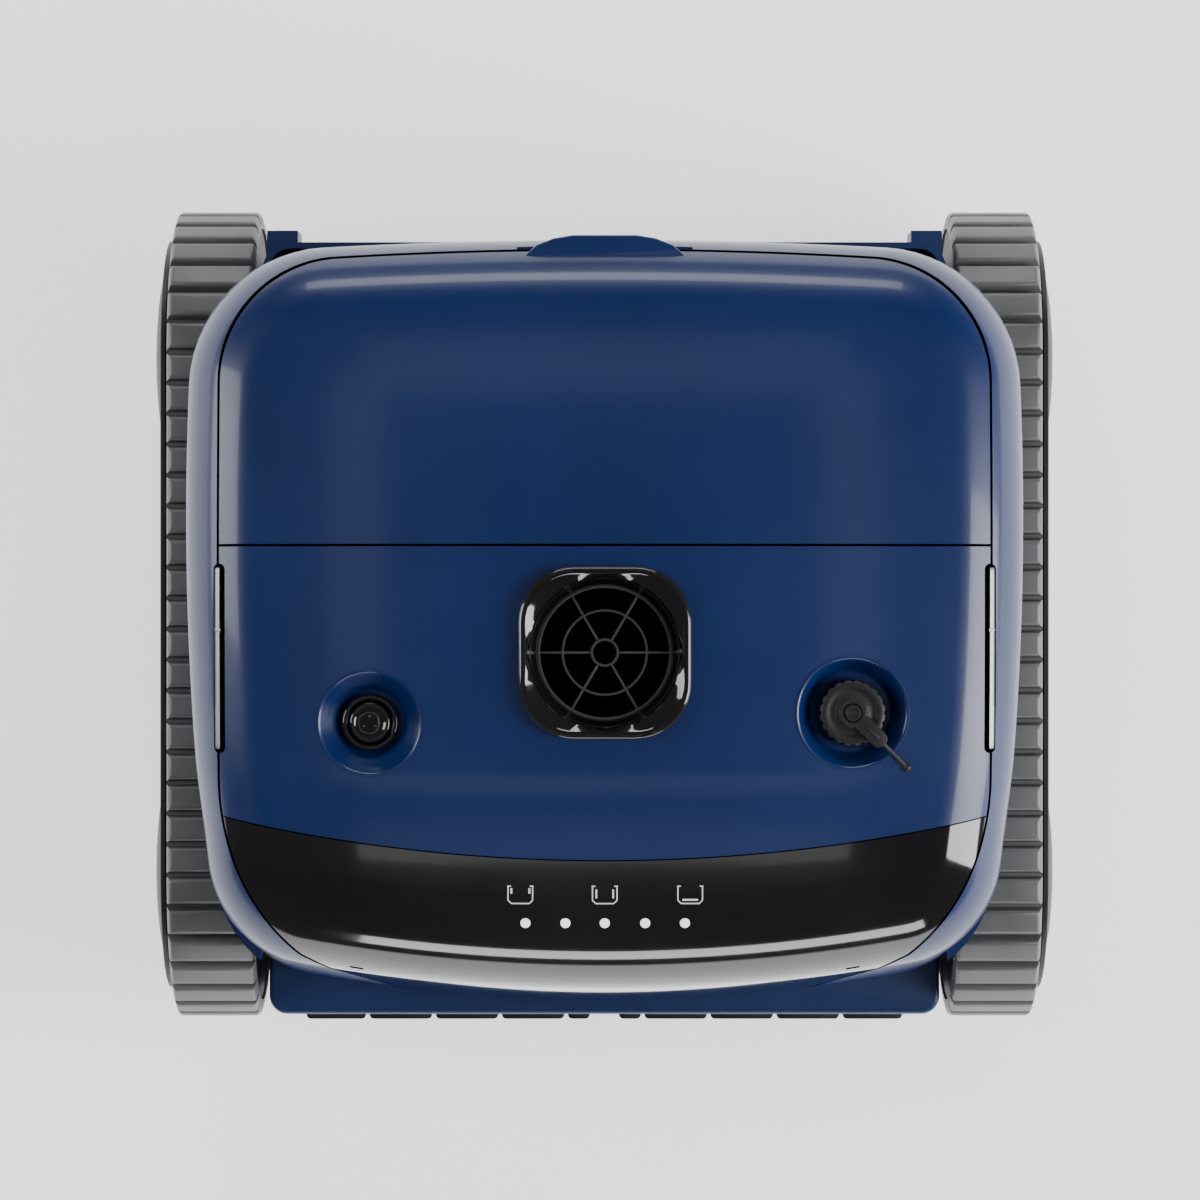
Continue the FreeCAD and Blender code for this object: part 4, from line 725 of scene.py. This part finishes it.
# %% Rails: the upper shell round the tracks, with closed fender floors
rails = carve(twin(skin, "side_rails"), outside)
carve(rails, slab("under_rear", (-FAR, FAR), (-148.5, FAR), (0, 152)))
carve(rails, slab("under_all", (-FAR, FAR), (-FAR, FAR), (0, 104)))
for side in (-1, 1):
    low, high = sorted((side * 165, side * 300))
    carve(rails, slab("under_fender", (low, high), (-FAR, FAR), (0, 152)))
carve(rails, slab("lip_notch", (-41.2, 41.2), (159.5, FAR), (213, FAR)))
for cutter in vent_cutters():
    carve(rails, cutter)
fender = raised("fender_floor", [(x * 0.993, y * 0.993) for x, y in outline], 152.2, 155)
carve(fender, slab("floor_middle", (-165, 165), (-FAR, FAR), (100, 200)))
front_cut = slab("front_cut", (-FAR, FAR), (-FAR, -179.5), (100, 200))
carve(fender, front_cut)
sleek(rails)
rails = joined("side_rails", [rails, fender])
show(rails, "chassis", HOOD_BLUE, "shell_blue", "upper_shell")

# %% Visor panel
ICON_Y, LED_Y = -130, -143.4
LEDS = [-36.9, -18.3, 0, 18.8, 37.3]
visor = carve(twin(skin, "visor_panel"), inside, "INTERSECT", keep_tool=True)
carve(visor, slab("under_visor", (-FAR, FAR), (-FAR, FAR), (0, 104)))
carve(visor, drum("visor_arc", ARC_R + GAP / 2, 100, FAR, (0, ARC_Y), "z", 900))
for x in LEDS:
    carve(visor, drum("led_hole", 2.5, 215, 260, (x, LED_Y), "z", 24))
for x, z in ((-117, 200), (0, 150), (117, 200)):
    carve(visor, slab("sensor_slot", (x - 3.2, x + 3.2), (-FAR, -150), (z, z + 2)))
sleek(visor)
show(visor, "chassis", PIANO_BLACK, "visor_black", "display_visor")
bpy.data.objects.remove(inside)

# %% [markdown]
# ## Lights and marks on the visor
# Five light pipes end in small frosted lenses that stand a hair proud of the visor. Three printed marks
# show the cleaning programs: the waterline, the walls and the floor of a pool in section. Each stroke is
# a thin strip of ink that is subdivided and laid on the dome. The ink carries a faint painted glow.

# %% Lenses
lenses = []
for x in LEDS:
    z, normal = on_skin(x, LED_Y)
    profile = [(0, -4), (2.3, -4), (2.3, -0.25), (2.15, 0.0), (1.6, 0.12), (0, 0.2)]
    lens = lathed("lens", profile, (x, LED_Y, z), 32, UP.rotation_difference(normal).to_euler())
    lenses.append(soft(lens, 50))
show(joined("visor_lenses", lenses), "chassis", LED_WHITE, "led_white", "light_pipes")


# %% Printed marks
def stroke(x1, y1, x2, y2, width=0.55):
    """A strip of ink between two points of the plan, laid on the dome."""
    along = Vector((x2 - x1, y2 - y1, 0))
    side = Vector((-along.y, along.x, 0)).normalized() * width / 2
    ends = [Vector((x1, y1, 0)) - side, Vector((x2, y2, 0)) - side, Vector((x2, y2, 0)) + side,
            Vector((x1, y1, 0)) + side]
    strip = raised("stroke", [(p.x, p.y) for p in ends], 0, 0.14)
    pick(strip, faces=lambda f: True)
    bpy.ops.mesh.subdivide(number_cuts=3)
    leave()
    for v in strip.data.vertices:
        v.co.z += (on_skin(v.co.x / MM, v.co.y / MM)[0] - 0.05) * MM
    return strip


def pool_mark(cx, kind):
    """A pool in section: two banks, two walls and a floor with bevelled corners."""
    strokes = []
    for s in (-1, 1):
        strokes.append(stroke(cx + s * 4.4, ICON_Y + 4.1, cx + s * 6.1, ICON_Y + 4.1))
        strokes.append(stroke(cx + s * 5.7, ICON_Y + 4.1, cx + s * 5.7, ICON_Y - 2.6))
        strokes.append(stroke(cx + s * 5.7, ICON_Y - 2.5, cx + s * 4.2, ICON_Y - 4.0))
    strokes.append(stroke(cx - 4.3, ICON_Y - 4.0, cx + 4.3, ICON_Y - 4.0))
    if kind == "waterline":
        strokes += [stroke(cx + s * 4.2, ICON_Y + 3.2, cx + s * 4.2, ICON_Y + 0.6, 0.9) for s in (-1, 1)]
    if kind == "walls":
        strokes += [stroke(cx + s * 3.9, ICON_Y + 2.6, cx + s * 3.9, ICON_Y - 1.6, 0.8) for s in (-1, 1)]
    if kind == "floor":
        strokes.append(stroke(cx - 3.6, ICON_Y - 2.3, cx + 3.6, ICON_Y - 2.3, 0.9))
    return strokes


marks = pool_mark(-39.2, "waterline") + pool_mark(0, "walls") + pool_mark(39.7, "floor")
# the marks' ink glows faintly: painted light on print
show(joined("program_marks", marks), "chassis", ICON_INK_GLOW, "led_white")

# %% [markdown]
# ## Outlet
# The pump's jet leaves through a rounded-square frame whose funnel turns into a round duct. Its section
# changes from square to round, so it is made of loops with the same number of points, and each loop is
# bridged to the next.


# %% Loops bridged one to the next
def ringed(name, rings):
    """A closed wall through loops of (x, y, z) points. The last loop is bridged back to the first."""
    count = len(rings[0])
    mesh = bpy.data.meshes.new(name)
    edges = [(r * count + i, r * count + (i + 1) % count) for r in range(len(rings)) for i in range(count)]
    mesh.from_pydata([[v * MM for v in p] for ring in rings for p in ring], edges, [])
    obj = bpy.data.objects.new(name, mesh)
    bpy.context.collection.objects.link(obj)
    for r in range(len(rings)):
        pair = {r, (r + 1) % len(rings)}
        pick(obj, edges=lambda e: e.index < len(edges) and e.index // count in pair)
        bpy.ops.mesh.bridge_edge_loops()
        leave()
    pick(obj, faces=lambda f: True)
    bpy.ops.mesh.normals_make_consistent(inside=False)
    leave()
    return obj


def square_ring(size, corner, z):
    return [(x, y, z) for x, y in rounded_square(size, corner)]


def round_ring(r, z):
    """A circle whose points lie in the same directions as the rounded square's."""
    ring = []
    for x, y in rounded_square(80, 26):
        turn = math.atan2(y - OUTLET_Y, x)
        ring.append((r * math.cos(turn), OUTLET_Y + r * math.sin(turn), z))
    return ring


# %% Outlet frame
rings = [square_ring(80, 26, 240), square_ring(80, 26, 246.2), square_ring(79.4, 25.7, 247.1),
         square_ring(78.2, 25.1, 247.75), square_ring(76.6, 24.3, 248), square_ring(73.6, 23.6, 247.8),
         square_ring(72.4, 23.4, 247.2), round_ring(35.6, 245.9), round_ring(34.2, 243.8),
         round_ring(32.9, 241.4),
         round_ring(31.9, 239.2), round_ring(31.5, 238.2), round_ring(31.5, 226), round_ring(34, 226.3),
         round_ring(34, 233), square_ring(74, 23, 233), square_ring(74, 23, 239.7)]
outlet = soft(ringed("outlet_frame_gloss", rings), 32)
show(outlet, "chassis", PIANO_BLACK, "visor_black", "outlet_frame")

# %% Grille: two rings, a hub ring and six bars
GRILLE_Z = 236
grille_parts = []
for inner, outer, half in ((30.0, 31.45, 1.5), (19.0, 20.2, 1.1), (5.4, 6.7, 1.5)):
    profile = [(inner, GRILLE_Z - half), (outer, GRILLE_Z - half), (outer, GRILLE_Z + half - 0.35),
               (outer - 0.3, GRILLE_Z + half), (inner + 0.3, GRILLE_Z + half),
               (inner, GRILLE_Z + half - 0.35), (inner, GRILLE_Z - half)]
    grille_parts.append(soft(lathed("grille_ring", profile, (0, OUTLET_Y), 96)))
bar = slab("grille_bar", (6.2, 30.4), (-0.6, 0.6), (GRILLE_Z - 1, GRILLE_Z + 0.9))
soft(bevelled(bar, 0.25, 2))
for i in range(6):
    spoke = twin(bar, "grille_bar")
    spoke.rotation_euler.z = math.radians(60 * i)
    spoke.location.y = OUTLET_Y * MM
    grille_parts.append(settle(spoke))
bpy.data.objects.remove(bar)
grille = joined("outlet_grille_bars", grille_parts)
show(grille, "chassis", GRILLE_GREY, "black_plastic", "outlet_grille")

# %% [markdown]
# ## Power button and charging port
# Both sit on the flat floors of their dishes. Round pieces are turned from a profile, as on a lathe. The
# port's cap has twenty grip notches round its rim, and a rubber strap keeps it from getting lost.

# %% Bezel and button
bx, by = BUTTON
profile = [(9.95, 208), (11, 208), (11, 226), (13.0, 226), (13.4, 226.4), (13.4, 228.6), (13.1, 229.4),
           (12.4, 229.9), (11.6, 230), (10.6, 229.6), (9.95, 228.9), (9.95, 208)]
show(soft(lathed("button_ring", profile, BUTTON, 96), 50), "chassis", PIANO_BLACK, "visor_black",
     "button_bezel")

profile = [(0, 216), (9.6, 216), (9.6, 230.6), (9.4, 231.4), (8.8, 231.9), (8.0, 232.0), (7.2, 231.7),
           (6.4, 231.2), (4.6, 230.9), (2.2, 230.8), (0, 230.8)]
button = soft(lathed("power_button_cap", profile, BUTTON, 96), 50)
for dx, dy in ((0, 3), (-2.6, -1.5), (2.6, -1.5)):
    bpy.ops.object.select_all(action="DESELECT")
    bpy.ops.mesh.primitive_uv_sphere_add(segments=20, ring_count=12, radius=0.9 * MM,
                                         location=((bx + dx) * MM, (by + dy) * MM, 231.3 * MM))
    carve(button, settle(bpy.context.object))
soft(button, 50)
show(button, "power_button", PIANO_BLACK, "visor_black", "power_button")

# %% Port cap with its notches
px, py = PORT
profile = [(0, 216), (8.3, 216), (8.45, 216.4), (8.45, 227.8), (14.6, 227.8), (15.4, 228.5), (15.5, 229.2),
           (15.5, 235.4), (15.0, 236.4), (14.0, 237), (11.5, 237), (11.0, 236.6), (8.2, 236.6), (7.7, 237),
           (4.0, 237), (4.0, 239.2), (3.5, 239.8), (2.6, 239.8), (2.2, 239.3), (0, 239.3)]
cap = soft(lathed("port_cap_turned", profile, PORT, 160), 40)
notches = []
for i in range(20):
    a = math.radians(18 * i)
    spot = (px + 15.9 * math.cos(a), py + 15.9 * math.sin(a))
    notches.append(drum("notch", 1.5, 226, 240, spot, "z", 14))
carve(cap, joined("notches", notches))
soft(cap, 40)
show(cap, "port_cap", GRAINED_BLACK, "black_plastic", "port_cap")

# %% Tether: an eye round the cap's boss, a flat strap, a thin tail and its anchor bead
profile = [(4.35, 237.4), (6.5, 237.4), (6.5, 238.9), (6.2, 239.2), (4.65, 239.2), (4.35, 238.9),
           (4.35, 237.4)]
eye = soft(lathed("tether_eye", profile, PORT, 64))
strap = raised("tether_strap", [(5.6, -4)] + arc(17, 0, 4, -90, 90, 10) + [(17, 4), (5.6, 4)], 237.4, 239.2)
soft(bevelled(strap, 0.45, 2))
rib = slab("strap_rib", (8, 17), (-0.8, 0.8), (239.0, 239.6))
soft(bevelled(rib, 0.3, 2))
for piece in (strap, rib):
    piece.rotation_euler.z = math.radians(-45)
    piece.location = (px * MM, py * MM, 0)
    settle(piece)
way = Vector((math.cos(math.radians(-45)), math.sin(math.radians(-45)), 0))
start = Vector((px, py, 238.3)) + way * 19.5
end = Vector((px, py, 0)) + way * 36
end.z = on_skin(end.x, end.y)[0] + 0.3
bpy.ops.object.select_all(action="DESELECT")
bpy.ops.mesh.primitive_cylinder_add(vertices=16, radius=MM, depth=(end - start).length * MM,
                                    location=(start + end) / 2 * MM,
                                    rotation=UP.rotation_difference(end - start).to_euler())
tail = soft(settle(bpy.context.object))
bpy.ops.object.select_all(action="DESELECT")
bpy.ops.mesh.primitive_uv_sphere_add(segments=24, ring_count=14, radius=1.9 * MM, location=end * MM)
bead = soft(settle(bpy.context.object))
tether = joined("cap_tether_strap", [eye, strap, rib, tail, bead])
show(tether, "chassis", BRUSH_RUBBER, "brush_rubber", "cap_tether")

# %% [markdown]
# ## Side grips
# In each long slot of the deck lies a satin strip, and beside it a black channel floor set low in the slot,
# which stands in as painted shade. The strip's top follows the dome a little below the surface, so its
# vertices are laid on the dome after it is subdivided along its length.


# %% Grip strips in their slots
def laid_strip(name, x, y, low, sink, cuts=40):
    strip = slab(name, x, y, (0, 10))
    for i in range(1, cuts):
        pick(strip, faces=lambda f: True)
        level = (y[0] + (y[1] - y[0]) * i / cuts) * MM
        bpy.ops.mesh.bisect(plane_co=(0, level, 0), plane_no=(0, 1, 0))
        leave()
    for v in strip.data.vertices:
        top = on_skin(v.co.x / MM, v.co.y / MM)[0] - sink
        v.co.z = (top if v.co.z > 5 * MM else low) * MM
    return bevelled(strip, 0.35, 2, 50)


for side, word in ((1, "right"), (-1, "left")):
    def across(near, far):
        return tuple(sorted((side * near, side * far)))

    grip = laid_strip(f"grip_strip_{word}", across(179.7, 182.4), (-62.6, 22.2), 206, 1.0)
    ledge = laid_strip("ledge", across(179.2, 182.4), (-7.8, -6.2), 206, 0.55, 2)
    show(joined(f"grip_strip_{word}", [soft(grip), soft(ledge)]), "chassis", GRIP_SATIN, "grip_grey",
         f"vent_grip_{word}")
    # a black floor low in the slot, standing in for the shade there: painted shade
    slot_shade = laid_strip(f"grip_slot_shade_{word}", across(177.2, 179.6), (-63.4, 23.0), 206, 6.5)
    show(soft(slot_shade), "chassis", GRAINED_BLACK, "black_plastic")

# %% [markdown]
# ## Tracks
# Each belt is one rubber loop with 63 broad lugs outside and a row of guide teeth inside. One pitch is
# modelled flat and an Array modifier repeats it. The strip is then wrapped round the wheels: distance
# along it becomes distance round the loop, and height above its inner face becomes distance from the
# wheel's axis.

# %% One pitch of belt, flat
LUGS = 63
WHEEL_Y, AXLE_Z = 126, 74
BELT_IN, BELT_OUT = 170, 212
INNER_R, BASE_R, LUG_R = 66, 69, 74
PITCH = (4 * WHEEL_Y + 2 * math.pi * BASE_R) / LUGS
GROOVE = 1.7
GUIDE = (186, 196)
print("belt pitch", round(PITCH, 2), "mm")


def sliced(obj, axis, levels):
    """Cuts right through at several levels, so that a flat face can bend or be extruded in part."""
    for level in levels:
        pick(obj, faces=lambda f: True)
        spot, way = [0, 0, 0], [0, 0, 0]
        spot[axis], way[axis] = level * MM, 1
        bpy.ops.mesh.bisect(plane_co=spot, plane_no=way)
        leave()
    return obj


pitch = slab("belt_pitch", (BELT_IN, BELT_OUT), (0, PITCH), (0, BASE_R - INNER_R))
sliced(pitch, 1, [GROOVE / 2, 3.4, PITCH / 2, PITCH - 3.4, PITCH - GROOVE / 2])
sliced(pitch, 0, GUIDE)


def in_lug(f, up):
    middle = f.calc_center_median() / MM
    return f.normal.z * up > 0.9 and GROOVE / 2 < middle.y < PITCH - GROOVE / 2


pick(pitch, faces=lambda f: in_lug(f, 1))
bpy.ops.mesh.extrude_region_move(TRANSFORM_OT_translate={"value": (0, 0, (LUG_R - BASE_R) * MM)})
bpy.ops.transform.resize(value=(0.93, 0.86, 1),
                         center_override=((BELT_IN + BELT_OUT) / 2 * MM, PITCH / 2 * MM, 0))
leave()
top = (LUG_R - INNER_R) * MM


def rim_of_top(e):
    level = all(abs(v.co.z - top) < 1e-6 for v in e.verts)
    return level and sum(f.normal.z > 0.9 for f in e.link_faces) == 1


pick(pitch, edges=rim_of_top)
bpy.ops.mesh.bevel(offset=1.7 * MM, segments=3)
leave()
pick(pitch, faces=lambda f: in_lug(f, -1) and GUIDE[0] < f.calc_center_median().x / MM < GUIDE[1])
bpy.ops.mesh.extrude_region_move(TRANSFORM_OT_translate={"value": (0, 0, -4.5 * MM)})
bpy.ops.transform.resize(value=(0.75, 0.7, 1), center_override=(sum(GUIDE) / 2 * MM, PITCH / 2 * MM, 0))
leave()
pick(pitch, faces=lambda f: abs(f.normal.y) > 0.99 and min(f.calc_center_median().y, PITCH * MM
                                                          - f.calc_center_median().y) < 1e-6)
bpy.ops.mesh.delete(type="FACE")
leave()
print("one pitch:", len(pitch.data.polygons), "faces")


# %% Repeat the pitch and wrap it round the wheels
def round_the_loop(distance, r):
    """The place on the loop, in (y, z), at a distance along its base line."""
    run, bend = 2 * WHEEL_Y, math.pi * BASE_R
    distance %= 2 * run + 2 * bend
    if distance < run:
        return distance - WHEEL_Y, AXLE_Z + r
    if distance < run + bend:
        a = (distance - run) / BASE_R
        return WHEEL_Y + r * math.sin(a), AXLE_Z + r * math.cos(a)
    if distance < 2 * run + bend:
        return WHEEL_Y - (distance - run - bend), AXLE_Z - r
    a = (distance - 2 * run - bend) / BASE_R + math.pi
    return r * math.sin(a) - WHEEL_Y, AXLE_Z + r * math.cos(a)


belt = modify(pitch, "ARRAY", count=LUGS, use_relative_offset=False, use_constant_offset=True,
              constant_offset_displace=(0, PITCH * MM, 0), use_merge_vertices=True, merge_threshold=0.00001)
for v in belt.data.vertices:
    y, z = round_the_loop(v.co.y / MM, INNER_R + v.co.z / MM)
    v.co.y, v.co.z = y * MM, z * MM
turned_in(belt)
soft(belt, 38)
belt.name = belt.data.name = "belt_right"


def across_middle(obj, name):
    """The same piece on the other side."""
    other = twin(obj, name)
    other.scale.x = -1
    settle(other)
    pick(other, faces=lambda f: True)
    bpy.ops.mesh.normals_make_consistent(inside=False)
    leave()
    return other


left_belt = across_middle(belt, "belt_left")
show(belt, "chassis", TRACK_GREY, "track_grey", "track_belt_right")
show(left_belt, "chassis", TRACK_GREY, "track_grey", "track_belt_left")

# %% [markdown]
# ## Side covers
# A long flat cover hides the wheels on each side. It is drawn as an outline, raised, and stood on edge:
# what was drawn as x becomes y, y becomes z and z becomes x. Round bosses swell out over the wheels, and
# a ribbed panel joins them.

# %% Cover plate with stepped edge
STAND = Matrix(((0, 0, 1, 0), (1, 0, 0, 0), (0, 1, 0, 0), (0, 0, 0, 1)))
COVER_X = 213.5


def stood(obj):
    obj.matrix_world = STAND
    return settle(obj)


def long_loop(r):
    loop = arc(WHEEL_Y, AXLE_Z, r, -90, 90, 40) + [(WHEEL_Y, AXLE_Z + r)]
    return loop + arc(-WHEEL_Y, AXLE_Z, r, 90, 270, 40) + [(-WHEEL_Y, AXLE_Z - r)]


plate = raised("cover_plate", long_loop(60), COVER_X, COVER_X + 2)
pick(plate, faces=lambda f: f.normal.z > 0.9)
for thickness, depth in ((0.35, 0.35), (0.5, 0.15), (4.5, 0), (0.8, -0.9), (1.6, 0), (0.8, 0.9)):
    bpy.ops.mesh.inset(thickness=thickness * MM, depth=depth * MM)
leave()
soft(plate, 40)

# %% Bosses, ribbed panel and screw seats
parts = [plate]
for s in (-1, 1):
    profile = [(0, COVER_X + 1), (52, COVER_X + 1), (52, COVER_X + 1.8), (51.3, COVER_X + 2.4),
               (48, COVER_X + 3.6),
               (44, COVER_X + 4.8), (37, COVER_X + 6.2), (30, COVER_X + 7.1), (22, COVER_X + 7.85),
               (21.4, COVER_X + 7.4),
               (19.6, COVER_X + 7.4), (19, COVER_X + 8.0), (10, COVER_X + 8.4), (0, COVER_X + 8.5)]
    boss = soft(lathed("cover_boss", profile, (s * WHEEL_Y, AXLE_Z), 112), 30)
    seats = []
    for dz in (-32, 32):
        seats.append(drum("screw_seat", 4.0, COVER_X + 4, COVER_X + 10, (s * WHEEL_Y, AXLE_Z + dz), "z", 32))
    carve(boss, joined("screw_seats", seats))
    parts.append(soft(boss, 30))
panel = slab("cover_panel", (-70, 70), (AXLE_Z - 40, AXLE_Z + 40), (COVER_X + 1, COVER_X + 2.4))
pick(panel, faces=lambda f: f.normal.z > 0.9)
bpy.ops.mesh.inset(thickness=3 * MM, depth=1.6 * MM)
bpy.ops.mesh.inset(thickness=3 * MM, depth=0)
bpy.ops.mesh.inset(thickness=0.8 * MM, depth=-1.0 * MM)
leave()
parts.append(soft(bevelled(panel, 0.4, 3, 20)))
for i in range(7):
    z = AXLE_Z - 24 + 8 * i
    parts.append(soft(bevelled(slab("cover_rib", (-52, 52), (z - 1.4, z + 1.4),
                                    (COVER_X + 2, COVER_X + 4.2)), 0.7)))
cover = stood(joined("side_cover_shell_right", parts))
left_cover = across_middle(cover, "side_cover_shell_left")
show(cover, "chassis", COVER_BLACK, "cover_black", "side_cover_right")
show(left_cover, "chassis", COVER_BLACK, "cover_black", "side_cover_left")

# %% [markdown]
# ## Bumper and brushes
# The bumper runs straight across under the visor. It is a box with rounded front corners, hollow behind,
# with two fine grooves along its front. Each brush is a rubber sleeve with ten rows of tabs. One tab is
# modelled, and copies of it are turned round the roller and moved along it.

# %% Bumper
def round_front(obj, front, width, segments):
    """Rounds the two upright edges at the front."""
    pick(obj, edges=lambda e: all(abs(v.co.y - front * MM) < 1e-6 for v in e.verts)
         and abs(e.verts[0].co.x - e.verts[1].co.x) < 1e-6)
    bpy.ops.mesh.bevel(offset=width * MM, segments=segments)
    leave()
    return obj


outer = round_front(slab("bumper_shell", (-165, 165), (-197, -140), (66, 104)), -197, 9, 10)
for level, width in ((104, 2.2), (66, 1.2)):
    pick(outer, edges=lambda e: all(abs(v.co.z - level * MM) < 1e-6 for v in e.verts))
    bpy.ops.mesh.bevel(offset=width * MM, segments=4)
    leave()
carve(outer, round_front(slab("bumper_hollow", (-162, 162), (-194, -100), (30, 101)), -194, 6, 8))
carve(outer, slab("bumper_back", (-200, 200), (-148.5, -100), (0, 200)))
for x in (-135, 135):
    carve(outer, slab("bumper_slot", (x - 4, x + 4), (-FAR, -165), (88, 91)))
for z in (80, 74):
    carve(outer, slab("bumper_groove", (-156, 156), (-200, -196.2), (z, z + 1.2)))
soft(turned_in(outer), 35)
show(outer, "chassis", CHASSIS_BLUE, "chassis_blue", "front_bumper")

# %% Brush tabs, one row of each kind
BRUSH_Y, BRUSH_Z = -178, 31
ROWS = 10
BRUSH_GAPS = [19.4 + 33.5 * i for i in range(4)]


def tab(x1, x2):
    """A rubber tab that stands on the sleeve, thinner at the tip and with rounded corners."""
    blade = slab("brush_tab", (x1, x2), (-0.9, 0.9), (13, 27.7))
    sliced(blade, 2, [18, 23])
    pick(blade, verts=lambda v: v.co.z > 27 * MM)
    bpy.ops.transform.resize(value=(1, 0.6, 1), center_override=(0, 0, 0))
    leave()
    pick(blade, edges=lambda e: abs(e.verts[0].co.x - e.verts[1].co.x) < 1e-6
         and all(v.co.z > 27 * MM for v in e.verts))
    bpy.ops.mesh.bevel(offset=2.2 * MM, segments=4)
    leave()
    return soft(bevelled(blade, 0.25, 2, 45))


def brush(name):
    edges = [7.4] + [v for gap in BRUSH_GAPS for v in (gap - 0.9, gap + 0.9)] + [151]
    row = [tab(edges[i], edges[i + 1]) for i in range(0, len(edges), 2)]
    first = joined("brush_row", row)
    parts = []
    for i in range(ROWS):
        copy = twin(first, "brush_row")
        copy.rotation_euler.x = math.radians(360 * i / ROWS + 9)
        copy.location = (0, BRUSH_Y * MM, BRUSH_Z * MM)
        parts.append(settle(copy))
    bpy.data.objects.remove(first)
    profile = [(12.1, 7.4), (14, 7.4)]
    for x in range(10, 150, 7):
        profile += [(14, x), (14.5, x + 0.8), (14.5, x + 2.2), (14, x + 3)]
    profile += [(14, 151), (12.1, 151), (12.1, 7.4)]
    sleeve = lathed("brush_tube", profile, (0, 0), 48)
    sleeve.rotation_euler.y = math.pi / 2
    sleeve.location = (0, BRUSH_Y * MM, BRUSH_Z * MM)
    parts.append(soft(settle(sleeve)))
    return joined(name, parts)


right_brush = brush("brush_rubber_right")
left_brush = across_middle(right_brush, "brush_rubber_left")
show(right_brush, "brush_right", BRUSH_RUBBER, "brush_rubber", "brush_sleeve_right")
show(left_brush, "brush_left", BRUSH_RUBBER, "brush_rubber", "brush_sleeve_left")

# %% [markdown]
# ## Studio
# A pale floor that glows a little, a large soft card on each of the four sides, and four strips in a
# square overhead, which the domed hood returns as a faint frame round its crown. The camera looks
# straight down.

# %% Floor
bpy.ops.object.select_all(action="DESELECT")
bpy.ops.mesh.primitive_plane_add(size=8, location=(0, 0, -0.0002))
floor = bpy.context.object
floor.name = "studio_floor"
FLOOR = finish("studio_floor", (0.93, 0.93, 0.93), drift=0.01, rough=0.9, bump=0.0, lift=0)
floor_shader = FLOOR.node_tree.nodes["Principled BSDF"]
floor_shader.inputs["Emission Color"].default_value = (1, 1, 1, 1)
floor_shader.inputs["Emission Strength"].default_value = 1.1
floor.data.materials.append(FLOOR)


# %% Lights
def lamp(name, width, depth, power, at, aim=(0, 0, 0.15)):
    data = bpy.data.lights.new(name, "AREA")
    data.shape = "RECTANGLE"
    data.size, data.size_y = width, depth
    data.energy = power
    obj = bpy.data.objects.new(name, data)
    obj.location = at
    obj.rotation_euler = (Vector(aim) - Vector(at)).to_track_quat("-Z", "Y").to_euler()
    bpy.context.collection.objects.link(obj)
    return obj


for name, size, at in (("strip_rear", (1.2, 0.14), (0, 0.60, 2.3)),
                       ("strip_front", (1.2, 0.14), (0, -0.60, 2.3)),
                       ("strip_left", (0.14, 1.2), (-0.60, 0, 2.3)),
                       ("strip_right", (0.14, 1.2), (0.60, 0, 2.3))):
    lamp(name, *size, 0.5, at, aim=(at[0], at[1], 0))
lamp("key_right", 1.4, 2.4, 105, (2.6, -0.4, 1.5))
lamp("fill_left", 1.0, 2.2, 42, (-2.6, 0.4, 1.4))
lamp("front_card", 2.2, 0.5, 22, (0.3, -2.6, 0.7))
lamp("rear_card", 2.2, 0.6, 26, (0, 2.6, 1.3))

world = bpy.data.worlds.new("studio")
bpy.context.scene.world = world
world.use_nodes = True
world.node_tree.nodes["Background"].inputs["Color"].default_value = (1, 1, 1, 1)
world.node_tree.nodes["Background"].inputs["Strength"].default_value = 0.10

# %% Camera, straight down over the middle
lens = bpy.data.cameras.new("camera")
lens.lens = 139.9
lens.sensor_width = 36
lens.clip_end = 20
camera = bpy.data.objects.new("camera", lens)
camera.location = (-0.0022, 0.007, 2.4)
camera.rotation_euler = (0, 0, 0)
bpy.context.collection.objects.link(camera)
bpy.context.scene.camera = camera

# %% Remove the guides and finish
for guide in (skin, skin_guide):
    bpy.data.objects.remove(guide)
